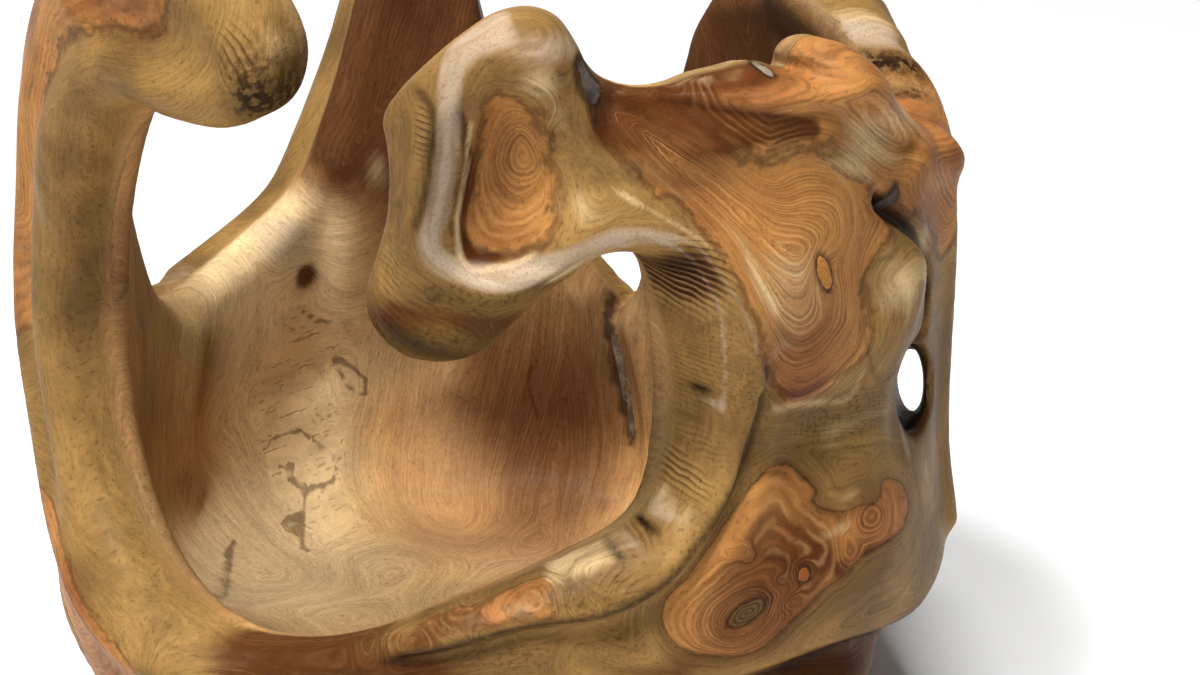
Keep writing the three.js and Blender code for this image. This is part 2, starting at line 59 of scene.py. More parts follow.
# Sizes of the wall, mm
DRUM_RADIUS, DRUM_WIDER = 186.0, 6.0
FLOOR_MIDDLE, BOTTOM_CORNER = 36.0, 62.0
WALL_OUT, WALL_IN = 21.0, 17.0
EDGE_ROUND, MOST_ROUND = 13.0, 0.9
UNROLLED = DRUM_RADIUS + 14.0
TURN = 2 * math.pi * UNROLLED
MAP_STEP, MAP_TOP = 1.5, 462.0
FAR = 70.0

# The rim line round the bowl, as [degrees from the front, height]
RIM = [
    # far side: a broad finger, then the low saddle
    (-180, 250), (-178.5, 285), (-176.5, 318), (-174.2, 355), (-170, 381), (-164, 384), (-159.6, 370),
    (-156, 328), (-152, 281), (-148.8, 254), (-145.5, 236), (-141, 223), (-134, 211), (-124, 200),
    (-114, 196),
    # left arm, bent over to its knob
    (-106, 214), (-99, 255), (-93, 310), (-85, 362), (-75, 400), (-63, 424), (-50, 434), (-40, 434),
    (-31, 426), (-26.2, 409), (-24, 388), (-26, 367), (-32, 356), (-41, 356), (-49, 359), (-56, 344),
    (-63, 310), (-68, 265), (-69, 222), (-65, 180), (-57, 146), (-47, 127), (-38, 121),
    # low near rim and the open C
    (-30, 122), (-21, 128), (-12, 139), (-4, 150), (4, 158), (11, 166), (17, 172), (22, 179), (25.5, 190),
    (27.8, 205), (29.3, 222), (29.3, 238), (28.2, 254), (26.6, 268), (24.7, 282), (22.4, 299),
    (19, 310), (14.5, 311),
    # the hook
    (10.5, 301), (6.4, 287), (2.7, 273), (-0.5, 264.5), (-3.5, 261), (-6.5, 260.5), (-9.8, 263),
    (-12.6, 270), (-14.6, 280), (-15.2, 292), (-14.1, 308), (-12.6, 325), (-11.8, 342), (-11.7, 358),
    (-11.9, 368), (-10.7, 376), (-6, 390), (-1.5, 401), (2.5, 408.5), (6.5, 410.5), (9.6, 407),
    (11.3, 400), (12.8, 390), (15, 381.5),
    # crest of the right-hand mass
    (19, 376), (24, 375), (29, 377.5), (33, 378.5), (36.5, 379.5), (40, 378), (43, 375),
    (44, 376), (44.7, 381), (46.6, 385), (50, 384.5), (53, 378.5), (56, 370), (60, 356),
    (64, 345.5), (69, 334.5), (74, 329),
    # right and rear right
    (79, 330), (85, 338), (92, 350), (100, 364), (107, 374), (113, 374), (119, 362), (126, 351),
    (134, 346), (141.2, 341), (144.3, 330), (147, 315), (148.4, 298), (150, 272), (152.4, 232),
    (154.9, 193), (157.2, 166), (160.2, 158.5), (163.6, 172), (168, 190), (174.5, 219),
]

# Dabs on the unrolled drum: (degrees, height, half width, half height, amount)
LEANS = [
    (108, 404, 110, 66, -57), (-70, 400, 110, 70, -8), (-165, 380, 60, 90, 6), (78, 62, 90, 27, -18),
]
OUTER_SWELLS = [
    (39, 292, 38, 42, 9), (59, 268, 20, 30, 11), (42, 212, 34, 18, -9), (62, 206, 12, 18, -4),
    (48, 146, 56, 34, 13), (78, 112, 60, 30, 5), (86, 58, 90, 24, -16), (24, 368, 34, 12, -7),
    (50, 366, 50, 12, 4), (5, 348, 26, 34, -9), (-20, 92, 70, 30, -9), (-60, 330, 50, 40, 6),
    (-88, 210, 70, 60, 5), (-120, 120, 60, 50, 6), (-165, 200, 60, 80, 6), (165, 110, 50, 40, 7),
    (122, 230, 46, 70, 6),
]
PITS = [
    (21.5, 177, 3.4, 2.6, -4), (11.6, 170, 2.6, 2.2, -2.6), (8.3, 166, 2.6, 2, -2.4),
    (16.1, 163, 2.8, 2, -2.4), (29.1, 241, 2, 3, -2), (26.5, 203, 2, 4, -1.4), (19.8, 180, 4, 1.8, -1.4),
    (24.7, 294, 2.6, 2, -1.6),
]
INNER_SWELLS = [
    (29, 228, 34, 62, 14), (20, 384, 30, 26, -7), (86, 186, 60, 50, 10), (-168, 230, 50, 60, 6),
    (150, 150, 22, 70, 7), (170, 150, 22, 70, 6), (-90, 180, 60, 60, 4), (-150, 120, 60, 30, -4),
]
SLANTS = [(30, 232, 60, 66, 7), (34, 384, 60, 20, 5)]
ROUNDINGS = [(29, 222, 50, 66, -6), (20, 380, 40, 16, -5), (-4, 300, 50, 60, 4), (-28, 390, 30, 30, -5)]

# Strokes on the unrolled drum: (path, width to its left, width to its right, amount)
OUTER_LINES = [
    ([(3, 410), (-2, 396), (-4.6, 374), (-5.4, 352), (-6.5, 330), (-5.7, 312), (-2.5, 301), (3, 299),
      (10, 308), (16, 316), (21, 315), (26, 302), (30, 284), (32.5, 264), (33.4, 240)], 10, 10, 5),
    ([(3.4, 388), (2.2, 378), (1, 364), (-0.1, 348), (-1.1, 332), (-1.2, 319), (0.6, 310.5), (5, 309),
      (11, 313)], 16, 2.8, -5),
    ([(-8, 379), (-8.4, 360), (-9, 338), (-10.2, 314), (-11, 294)], 2.6, 12, -5),
    ([(-11.6, 383), (-9.6, 382), (-7.2, 380)], 2.4, 8, -3),
    ([(33.6, 266), (34.4, 240), (33, 212), (30, 188), (26, 169), (21, 154), (14, 145), (6, 143),
      (-2, 134), (-12, 124)], 9, 3.6, -8),
    ([(14, 382), (18.8, 374), (25, 369.5), (32, 364), (39.2, 362), (48, 358), (56, 344), (64, 323)],
     5, 11, -7),
    ([(52.6, 317), (55.5, 306), (60, 293), (64.5, 278), (68.5, 262), (70, 244), (68, 226)], 4.5, 3.2, -9),
    ([(72, 330), (78, 290), (83, 240), (86, 190), (86, 150), (78, 118)], 11, 10, 6),
    ([(30, 100), (47.5, 103), (59.4, 95), (72, 84), (88, 74)], 6, 10, -9),
    ([(36, 82), (50, 80), (61, 70), (68, 58)], 8, 8, 5),
    ([(-30, 98), (-50, 108), (-74, 150), (-86, 220), (-82, 300), (-68, 372), (-52, 404)], 16, 10, 9),
    ([(-96, 250), (-104, 196), (-122, 150), (-146, 128), (-172, 96), (-188, 54)], 12, 17, 9),
    ([(-92, 178), (-108, 120), (-112, 70), (-104, 34)], 13, 12, 8),
    ([(-97, 226), (-99, 190), (-94, 150), (-84, 100), (-66, 62)], 10, 9, -8),
    ([(-118, 196), (-128, 176), (-146, 160), (-164, 128), (-178, 112)], 8, 9, -8),
    ([(-160, 366), (-158, 300), (-150, 232), (-154, 170), (-146, 104), (-152, 44)], 15, 12, 9),
    ([(-172, 352), (-169, 290), (-172, 226), (-163, 170)], 10, 7, -6),
    ([(-182, 232), (-190, 180), (-184, 132), (-196, 84), (-192, 40)], 11, 9, -9),
    ([(-198, 178), (-206, 150), (-204, 100), (-214, 56)], 14, 10, 8),
    ([(148, 318), (150, 256), (140, 190), (146, 132), (134, 84), (136, 40)], 12, 16, 9),
    ([(132, 346), (124, 296), (133, 232), (126, 176), (130, 120)], 8, 11, -9),
    ([(110, 362), (104, 300), (116, 236), (112, 178), (118, 120), (108, 64)], 13, 10, 8),
    ([(96, 350), (93, 290), (98, 240)], 8, 9, -6),
]
INNER_LINES = [
    ([(166, 176), (164.5, 146), (161.5, 112), (160, 84), (158, 60)], 7, 7, 6),
    ([(160, 178), (156, 146), (153, 112), (152, 88), (150, 60)], 7, 8, 7),
    ([(-178, 330), (-172, 250), (-176, 170), (-168, 100)], 12, 20, 4),
    ([(-150, 250), (-146, 180), (-150, 110)], 22, 12, -4),
    ([(-118, 190), (-112, 130), (-116, 80)], 14, 14, 5),
    ([(-76, 330), (-84, 250), (-80, 160), (-84, 90)], 16, 12, -5),
    ([(122, 330), (118, 250), (122, 160), (116, 90)], 14, 14, 5),
    ([(46, 370), (52, 300), (48, 230), (54, 150), (50, 90)], 16, 14, -4),
]
LIP_RISE, LIP_INSET, LIP_WIDTH = 5.5, 18, 12
LINE_FADE = 10  # the least length over which a stroke fades in and out

# The tunnel behind the outermost strip: (degrees, millimetres out from the wall's middle, height)
TUNNEL = [(61, 34, 218), (68, 17, 207), (78, 4.5, 194), (90, 4, 179), (103, 17, 164), (117, 44, 148)]
TUNNEL_WIDE, TUNNEL_TALL, TUNNEL_BLEND = 8.0, 18.5, 7.0
TUNNEL_BEYOND, TUNNEL_LEVEL, TUNNEL_ABOUT = 120, 175, 100  # it lies past this x, about this height, mm

# Root legs: (degrees, reach of the knee, radius of the knee, step in to the foot)
LEGS = [
    (22, 158, 30, 10), (84, 173, 29, 14), (133, 160, 33, 6), (-165, 164, 29, 10), (-108, 172, 31, 12),
    (-46, 156, 30, 8),
]
LEG_HIP, LEG_DROP, HIP_RADIUS, KNEE_HEIGHT, FOOT_SHARE, LEG_BLEND, LEG_TOP = 62, 5, 24, 34, 0.84, 24, 120
LUMP_RISE, LUMP_LENGTH, LUMP_BEND, LUMP_SLOWER = 1.1, 30, 1.5, 0.6

# Figures of the grain: closed outlines from the outermost inwards, each with its ring's depth in mm
HOOK_EYE = [
    (0, [(1.7, 386), (0.6, 367), (-0.4, 353), (-1.3, 336), (-1.9, 324), (-1.7, 317), (-0.5, 311),
         (2.2, 311), (4.7, 315), (7, 321), (8.6, 331), (8.4, 343), (8.1, 358), (7, 376), (5.1, 383),
         (3.4, 385)]),
    (9, [(5.2, 374), (6.9, 367), (7.8, 356), (7.6, 342), (5.8, 334), (3.4, 333), (1.7, 340), (1.2, 352),
         (2, 364), (3.5, 372)]),
    (18, [(4.7, 367), (7, 361), (7.6, 352), (6.1, 346), (4.1, 346), (2.9, 352), (3.2, 361)]),
]
NESTED_ARCS = [
    (0, [(13.6, 381), (17.3, 376), (22.9, 373), (26.3, 367), (28.1, 360), (31.8, 349), (35, 342),
         (38.1, 344), (41.8, 344), (46.7, 334), (50.4, 322), (56.6, 305), (55.1, 299), (50.9, 287),
         (49.8, 275), (51.5, 260), (51.2, 246), (47, 238), (43.1, 232), (38.7, 232), (36, 244),
         (32.3, 266), (29.8, 290), (27.5, 312), (24.2, 328), (19.7, 344), (16, 359), (13.9, 371)]),
    (18, [(14.3, 377), (19.7, 370), (25.4, 362), (31.1, 345), (35.5, 335), (39.6, 337), (44.4, 333),
          (48.3, 320), (48.5, 306), (46.1, 292), (46.9, 276), (47.7, 264), (45.2, 255), (41.3, 250),
          (37.7, 252), (33.3, 268), (30.8, 289), (28.7, 311), (25.4, 328), (20.1, 348), (16.4, 362)]),
    (36, [(15.8, 373), (21.7, 364), (27.7, 347), (33.1, 331), (37, 324), (41.6, 324), (45.4, 318),
          (45.8, 306), (43.6, 295), (43.2, 282), (41.4, 273), (38.3, 271), (35, 281), (32.3, 300),
          (28.8, 320), (24.6, 336), (19.5, 354), (17, 365)]),
    (54, [(19.1, 365), (24.4, 351), (31.2, 332), (35.5, 318), (39.5, 313), (42, 306), (40.7, 297),
          (38.1, 294), (35, 300), (31.4, 315), (27.2, 332), (21.9, 350)]),
]
LOWER_PATCH = [
    (0, [(36.6, 205), (40.3, 201), (41.8, 195), (43.4, 186), (42.1, 184), (43.4, 179), (46.4, 174),
         (50, 173), (54.5, 173), (55.5, 178), (60.4, 170), (61.3, 160), (58, 153), (53.8, 153),
         (49.1, 153), (45.6, 147), (43, 144), (40.8, 137), (38.6, 131), (35.8, 121), (32.1, 118),
         (28, 121), (24.7, 126), (22, 137), (21.4, 145), (22.2, 153), (24.6, 162), (27.2, 174),
         (30.6, 189), (33.3, 199)]),
    (11, [(38, 157), (34, 160), (30, 158), (26.9, 150), (25.8, 138), (27.3, 128), (31.4, 121),
          (34.6, 124), (37.5, 135), (38.6, 147)]),
    (22, [(34.7, 146), (32.8, 150), (30.2, 148), (28.6, 142), (28.7, 133), (30.6, 127), (32.8, 127),
          (34.6, 134), (35.2, 141)]),
    (40, [(34.1, 144), (32.8, 144), (31.6, 141), (31.3, 137), (31.9, 136), (33.2, 137), (34.2, 141)]),
]
CREST_FIELD = [
    (0, [(14, 384), (20, 378), (30, 382), (42, 382), (50, 388), (58, 372), (70, 342), (80, 336),
         (90, 338), (92, 300), (84, 276), (76, 262), (68, 284), (62, 298), (57.5, 309), (51, 324),
         (47, 336), (42, 347), (38, 347.5), (35, 345.5), (31.8, 352), (28.6, 362), (26.5, 370),
         (22.9, 376), (17.5, 379)]),
]
LEFT_ARM_HEART = [
    (0, [(-98, 268), (-90, 330), (-80, 384), (-66, 412), (-50, 422), (-38, 420), (-40, 400), (-52, 392),
         (-62, 372), (-70, 330), (-74, 280), (-80, 230), (-90, 205), (-97, 225)]),
    (16, [(-90, 282), (-84, 330), (-76, 372), (-62, 402), (-66, 380), (-76, 330), (-82, 270)]),
]
LEFT_FOOT_HEART = [
    (0, [(-46, 104), (-58, 126), (-72, 150), (-84, 146), (-88, 112), (-80, 78), (-62, 66), (-48, 80)]),
    (16, [(-58, 98), (-66, 116), (-76, 118), (-76, 98), (-68, 84)]),
]
LEFT_REAR_HEART = [
    (0, [(-112, 172), (-124, 168), (-138, 142), (-144, 104), (-132, 72), (-116, 76), (-108, 108),
         (-106, 146)]),
    (18, [(-116, 146), (-126, 138), (-132, 110), (-124, 92), (-116, 108)]),
    (32, [(-120, 132), (-126, 120), (-122, 106), (-118, 118)]),
]
BACK_HEART = [
    (0, [(-164, 372), (-171, 366), (-174, 322), (-176, 262), (-182, 196), (-178, 150), (-166, 142),
         (-158, 178), (-156, 236), (-158, 300)]),
    (14, [(-167, 350), (-170, 300), (-173, 236), (-174, 190), (-168, 176), (-163, 220), (-163, 300)]),
]
RIGHT_BACK_HEART = [
    (0, [(118, 356), (132, 346), (142, 322), (144, 262), (138, 200), (128, 168), (118, 196), (116, 250),
         (110, 300)]),
    (18, [(124, 330), (134, 310), (136, 262), (130, 212), (124, 232), (122, 290)]),
    (32, [(128, 300), (131, 272), (128, 246), (126, 272)]),
]
NEAR_RIM_HEART = [
    (0, [(-13, 142), (-4, 155), (4, 162), (9, 163), (8, 154), (1, 147), (-6, 138), (-13, 131)]),
]
BACK_FOOT_HEART = [
    (0, [(160, 138), (176, 132), (184, 100), (176, 66), (158, 62), (146, 84), (148, 116)]),
    (16, [(162, 116), (172, 108), (170, 88), (158, 84), (154, 100)]),
]
# The figures with how sharply the heartwood in each ends: 1 within a millimetre or so
FIGURES = [
    (0.25, HOOK_EYE), (0.3, NESTED_ARCS), (1, LOWER_PATCH), (0.2, CREST_FIELD), (0.3, LEFT_ARM_HEART),
    (0.6, LEFT_FOOT_HEART), (0.3, LEFT_REAR_HEART), (0.3, BACK_HEART), (0.4, RIGHT_BACK_HEART),
    (0.6, BACK_FOOT_HEART), (0.5, NEAR_RIM_HEART),
]
# Paths that the grain runs along between the figures
GRAIN_PATHS = [
    [(27.4, 291), (28.9, 262), (29.6, 240), (28.6, 211), (24.6, 189), (17.6, 174), (10.1, 165), (2, 155),
     (-5.6, 145), (-14.2, 133), (-26, 124), (-40, 126), (-54, 150), (-63, 190), (-66, 240), (-61, 300),
     (-54, 348)],
    [(8, 408), (1.7, 403), (-2.6, 384), (-3.8, 348), (-4.8, 320), (-2.8, 310), (4, 304), (11.3, 316),
     (18, 324), (23.7, 316), (27.9, 298), (30.8, 272)],
    [(-9, 374), (-9.6, 350), (-11, 320), (-12.6, 295), (-8, 277), (-3, 270)],
    [(34, 228), (44, 216), (56, 206), (66, 190)],
    [(78, 322), (83, 262), (86, 200), (84, 140), (74, 112)],
    [(12, 128), (26, 106), (44, 96), (62, 84), (84, 70), (104, 66)],
]
# Small eyes that bend the rings round them: (degrees, height, half width, half height, millimetres)
BURLS = [
    (39.7, 154, 5, 5, 12), (32.6, 167, 4, 4, 7), (31.4, 172, 3.5, 3.5, 7), (29.9, 171, 3, 3, 5),
    (36.6, 152, 4, 4, 8), (38.7, 142, 5, 5, 9), (46.7, 156, 6, 5, 9), (46.3, 163, 5, 4, 6),
    (37.4, 139, 4, 4, 8), (51.8, 166, 15, 9, 15), (42.2, 291, 7, 12, 16), (8.6, 365, 6, 12, 10),
    (-4.8, 147, 12, 8, 20), (0.6, 143, 9, 7, 16), (-14, 128, 10, 7, 16), (11, 158, 8, 6, 12),
    (-96, 160, 20, 26, 30), (-128, 190, 14, 10, 18), (-60, 220, 9, 18, 16), (100, 300, 20, 26, 26),
    (170, 190, 16, 22, 22), (122, 96, 22, 18, 24), (-34, 92, 18, 14, 20), (96, 150, 20, 18, 22),
    (-140, 60, 16, 14, 18), (62, 320, 16, 10, 8),
]
INNER_FIGURES = [
    (0.15, [(0, [(-176, 360), (-164, 372), (-158, 330), (-152, 280), (-147, 252), (-146, 232),
                 (-152, 226), (-160, 250), (-168, 262), (-174, 300)])]),
    (0.15, [(0, [(70, 300), (90, 320), (110, 330), (118, 280), (112, 210), (92, 180), (74, 210)])]),
    (0.15, [(0, [(-80, 330), (-66, 360), (-58, 330), (-62, 270), (-74, 250)])]),
    (0.15, [(0, [(20, 60), (60, 56), (64, 120), (52, 200), (34, 160), (22, 110)])]),
]
INNER_PATHS = [
    [(-178, 330), (-172, 250), (-176, 170), (-168, 60)], [(150, 300), (152, 200), (150, 60)],
    [(-118, 190), (-112, 130), (-116, 60)], [(-76, 400), (-84, 250), (-80, 60)],
    [(100, 350), (118, 250), (122, 160), (116, 60)], [(46, 370), (52, 300), (48, 230), (50, 60)],
    [(20, 380), (24, 330), (30, 290)], [(-30, 110), (0, 120), (30, 150)],
]
INNER_BURLS = [
    (-143, 183, 16, 13, 22), (-152, 122, 7, 12, 12), (-120, 120, 26, 20, 20),
    (100, 250, 24, 30, 24), (60, 110, 26, 20, 22), (-60, 110, 26, 20, 22), (176, 240, 16, 26, 18),
]

# Tints outside, as strokes and dabs: pale new wood, with a painted highlight on the band's low ledge;
# deep red-brown wood, with painted shade low round the outside, under the hook and the C's top and in
# the valley under the crest; and speckled olive sapwood
PALE_LINES = [
    # a painted highlight on the band's low ledge, over pale wood
    ([(6, 162), (10, 167), (15.6, 174), (22, 187), (25.6, 202)], 5, 4, 0.66),
    ([(13.9, 345), (20.4, 330), (25, 318), (28, 306)], 1.4, 1.6, 0.6),
    ([(16, 359), (23.3, 338), (30.7, 313), (33, 292), (36, 276)], 2, 4, 0.36),
    ([(28, 356), (36, 345), (46, 336), (54, 318)], 3, 3, 0.3),
    ([(34, 234), (42, 229), (50, 224), (52, 244)], 4, 4, 0.5),
    ([(6, 301), (12, 310), (18, 317)], 2, 5, 0.6),
    ([(-0.4, 380), (-1.5, 352), (-2.6, 324), (-1.4, 309), (3, 309), (8, 317)], 1.6, 1.6, 0.8),
]
# dark red heartwood and borders, with painted shade in the valley under the crest
DEEP_RED_AND_SHADE_LINES = [
    ([(16, 384), (24, 379), (34, 379), (44, 384)], 6, 6, 1.0),
    ([(12, 385), (14.2, 382), (18.6, 373), (22.5, 368), (27.2, 364), (31.9, 361), (36.9, 358), (44, 351)],
     6, 5, 1.2),
    ([(32, 262), (36, 244), (40, 235), (46, 240), (50, 250), (49, 270)], 3, 3, 0.6),
    ([(-2, 386), (-1, 352), (-2, 322), (-0.5, 312), (4, 315)], 1.4, 3, 0.9),
]
PALE = [
    (57, 342, 36, 20, 0.6), (60, 272, 24, 26, 0.4), (56, 212, 30, 10, 0.35), (7, 390, 12, 9, 0.7),
    (9.5, 372, 6, 9, 0.5), (65, 270, 14, 17, 0.75), (24, 378, 34, 2, 0.6), (50, 338, 16, 13, 0.42),
    (24.5, 190, 7, 14, 0.4), (47.5, 205, 12, 8, 0.4), (55, 272, 10, 16, 0.6), (38, 278, 26, 30, 0.5),
    (45.6, 380, 7, 5, 0.3), (45.8, 168, 13, 4, 0.6), (36, 300, 24, 16, 0.28), (12, 335, 18, 12, 0.45),
    (96, 352, 10, 12, 0.6), (84, 334, 10, 8, 0.5), (-24.5, 400, 8, 12, 0.5), (4, 153, 16, 4, 0.35),
    (-9, 140, 10, 4, 0.3), (24, 170, 16, 6, 0.2), (-66, 240, 16, 60, 0.3), (-120, 190, 26, 12, 0.4),
    (60, 236, 16, 10, 0.2), (70, 150, 10, 10, 0.3), (49, 180, 12, 3, 0.6),
]
# darker red heartwood, and painted shade low round the outside, in the undercut, under the hook and under
# the C's top
DEEP_RED_AND_SHADE = [
    (18, 366, 14, 10, 0.85), (27, 358, 22, 9, 0.7), (14, 371, 5, 9, 0.8), (24, 340, 26, 12, 0.35),
    (33, 357, 20, 6, 0.55), (33, 140, 40, 40, 0.6), (58, 306, 8, 12, 0.5), (62, 346, 30, 16, 0.5),
    (-7, 140, 10, 8, 0.5), (4, 158, 4, 3, 0.5), (23.4, 301, 13, 14, 1.5), (41, 240, 12, 8, 0.35),
    (78, 204, 10, 20, 0.5), (50, 155, 12, 5, 0.35), (45, 104, 24, 8, 0.6), (64, 82, 40, 12, 0.7),
    (-10, 110, 60, 24, 0.55), (-12, 272, 16, 14, 0.45), (30, 60, 200, 26, 0.5), (-90, 120, 60, 40, 0.3),
    (22, 116, 22, 12, 0.45), (-16, 104, 48, 22, 1.3), (58, 90, 60, 16, 1.3), (-24, 122, 40, 16, 1.5),
    (42, 172, 44, 34, 0.5), (2, 346, 26, 52, 0.42), (21, 362, 34, 16, 0.3), (-5, 270, 40, 17, 0.8),
    (-10, 286, 12, 14, 0.5), (38, 160, 4, 3, 0.7), (42, 158, 5, 4, 0.7), (45, 151, 4, 3, 0.7),
    (36, 166, 4, 2, 0.6), (0, 284, 30, 10, 0.7), (70, 130, 30, 30, 0.35),
]
OLIVE = [
    (-5, 271, 40, 15, 1.1), (31, 246, 12, 40, 0.55), (26, 186, 22, 16, 0.5), (10, 158, 40, 10, 0.6),
    (-14, 134, 40, 9, 0.5), (52, 212, 40, 20, 0.75), (44, 222, 16, 10, 0.6), (66, 190, 16, 22, 0.5),
    (62, 240, 16, 14, 0.45), (1, 296, 18, 6, 0.8), (9, 303, 14, 5, 0.8), (16, 314, 10, 4, 0.6),
    (-4, 298, 14, 8, 0.6), (8.6, 362, 4, 10, 0.7), (-0.5, 350, 2.4, 30, 0.35), (48, 128, 34, 14, 0.35),
    (70, 130, 30, 20, 0.45), (18, 134, 20, 16, 0.5), (4, 130, 30, 14, 0.55), (-64, 200, 12, 50, 0.5),
    (78, 290, 10, 40, 0.3), (-110, 210, 14, 40, 0.5), (150, 200, 20, 80, 0.5), (-150, 90, 40, 40, 0.5),
    (100, 120, 40, 40, 0.4),
]
# Grey sheen on the ridges, as strokes and dabs: partly wood greyed by wear, partly painted highlight
SHEEN_LINES = [
    ([(5.2, 413), (0.3, 407), (-2.5, 397), (-3, 384), (-3.2, 366), (-3.8, 348), (-4.6, 333), (-5.6, 322),
      (-4.7, 313), (-1.1, 306), (3.4, 305), (9.1, 312), (13.6, 319), (18, 324)], 5.6, 5.6, 1),
    ([(15, 322), (18, 324), (21.1, 318), (23.7, 311), (25.6, 300), (27.2, 288), (28.4, 273), (29.5, 255),
      (30.1, 239), (30.1, 225)], 1.0, 1.1, 0.75),
    ([(19.5, 322), (23.7, 318), (26.2, 308), (28.3, 295), (29.9, 284), (31.2, 271), (32, 257)],
     1.1, 1.6, 0.7),
]
# painted highlights on rim tops, the pits and the rear right lobe, partly grey worn wood
SHEEN_DABS = [
    (19, 176, 5, 3, 0.6), (23.4, 190, 5, 4, 0.5), (29.6, 236, 2.4, 2, 0.8), (8, 402, 24, 10, 0.62),
    (19, 321, 12, 6, 0.7), (22.8, 186, 10, 4, 0.5), (-9, 150, 5, 3, 0.4), (26.6, 204, 4, 6, 0.4),
    (93, 350, 12, 10, 1), (64, 186, 5, 12, 0.7), (70, 165, 8, 10, 0.6), (62, 262, 8, 8, 0.3),
    (-52, 428, 30, 8, 0.7), (-69, 300, 10, 40, 0.5), (-9, 371, 6, 3, 0.5), (26, 344, 16, 3, 0.35),
    (-120, 200, 30, 6, 0.6), (34.5, 378, 4, 5, 0.3), (110, 372, 20, 6, 0.7), (-168, 382, 20, 6, 0.6),
]
# Dark lines and dots, as strokes and dabs: painted shade under the hook's lower edge, along the facet's
# step and in the creases and grooves, dark lines along the cracks, and dark outlines of the figures
DARK_LINES = [
    ([(-12, 288), (-9.2, 278), (-5.8, 271), (-1.3, 266), (4, 270), (10, 282), (14, 294)], 5, 4, 0.6),
    ([(-8.6, 383), (-6.7, 384.5), (-5, 381), (-4.6, 375), (-4.9, 362), (-5.4, 349), (-6.2, 336),
      (-7.6, 322)], 1.3, 2, 0.8),
    ([(32.6, 266), (34.2, 244), (34.2, 226), (33.1, 210), (29.6, 194), (25.6, 178), (21.6, 164),
      (15, 152.5), (8, 148.5), (1, 143), (-6, 133), (-14, 125)], 2.2, 1.6, 0.85),
    ([(52.6, 318), (55.6, 307), (60, 295), (64.5, 281), (69, 265), (71.6, 248), (69.6, 230)], 1.6, 2, 1),
    ([(30, 99), (46, 103.5), (52, 104), (59.4, 97), (72, 86), (88, 76)], 2.6, 3.4, 0.9),
    ([(-97, 226), (-99, 190), (-94, 150), (-84, 100), (-66, 62)], 2.4, 2.4, 0.5),
    ([(-118, 196), (-128, 176), (-146, 160), (-164, 128), (-178, 112)], 2, 2.4, 0.5),
    ([(132, 346), (124, 296), (133, 232), (126, 176), (130, 120)], 2, 3, 0.5),
    ([(-182, 232), (-190, 180), (-184, 132), (-196, 84), (-192, 40)], 2.4, 2, 0.5),
    ([(13, 392), (12.4, 384), (13, 374), (14.6, 364)], 1.4, 2, 0.8),
    ([(57, 309), (59.2, 300), (63.9, 286), (70.4, 265), (74.1, 245), (70.8, 229), (61.2, 227), (55.5, 226),
      (51.8, 245), (50, 266), (49.6, 276), (50.9, 284), (52.7, 286), (55, 287), (56, 295), (57, 306)],
     0.9, 0.9, 0.55),
    (LOWER_PATCH[0][1] + LOWER_PATCH[0][1][:1], 0.9, 0.9, 0.55),
]
# dark dots in holes, pits, cracks and the rough cavity, and on the face under the C's top: partly painted
# shade
DARK_DABS = [
    (20.2, 370, 1, 1, 0.9), (20.8, 367, 0.9, 1, 0.9), (21.4, 364, 0.9, 1, 0.9),
    (15.4, 362, 0.8, 1, 0.8), (22.2, 361, 0.8, 0.8, 0.8), (19.4, 372, 0.8, 0.8, 0.8),
    (18.5, 346, 0.9, 0.9, 0.8), (13, 387, 4, 6, 0.5), (22.8, 306, 9, 7, 0.8), (29, 241, 1.7, 2, 1.3),
    (21.6, 181, 2.2, 1.7, 1.3), (16.8, 173, 2.4, 1.6, 1), (-8.3, 341, 1, 2.4, 0.6),
    (-9.2, 335, 1, 2, 0.6), (-10.8, 318, 1, 2, 0.5), (32.4, 371, 2, 2, 0.5), (88, 340, 8, 7, 0.9),
    (82, 333, 4, 4, 0.7), (-27, 372, 10, 12, 0.6), (11, 386, 1.6, 1.6, 0.8), (6.6, 386.5, 1, 1, 0.7),
    (56, 310, 4, 5, 0.6),
]
# Places left rough by the chisel
ROUGH = [(-27, 378, 12, 20, 1), (88, 340, 9, 8, 1), (83, 333, 7, 6, 0.8), (44.6, 380, 3, 3, 0.5)]
# Chisel marks: (degrees, height, half width, half height, direction across them, spacing, depth)
CHISEL_MARKS = [
    (24.2, 298, 12, 14, 68, 2.7, 1.3), (26.2, 205, 6, 10, 65, 3.0, 0.8), (20.6, 180, 6, 4, 160, 2.6, 0.4),
    (28, 250, 6, 26, 90, 2.6, 0.22), (-5.9, 368, 2.6, 13, 78, 2.7, 0.55), (-10, 305, 7, 16, 60, 2.6, 0.25),
    (16, 166, 9, 5, 130, 3.0, 0.25), (-28, 392, 8, 12, 30, 3.4, 0.7), (90, 300, 20, 20, 40, 4.0, 0.25),
    (-120, 130, 24, 20, 80, 4.5, 0.3), (160, 230, 12, 30, 70, 4.0, 0.3), (28.6, 216, 5, 10, 100, 2.6, 0.2),
]
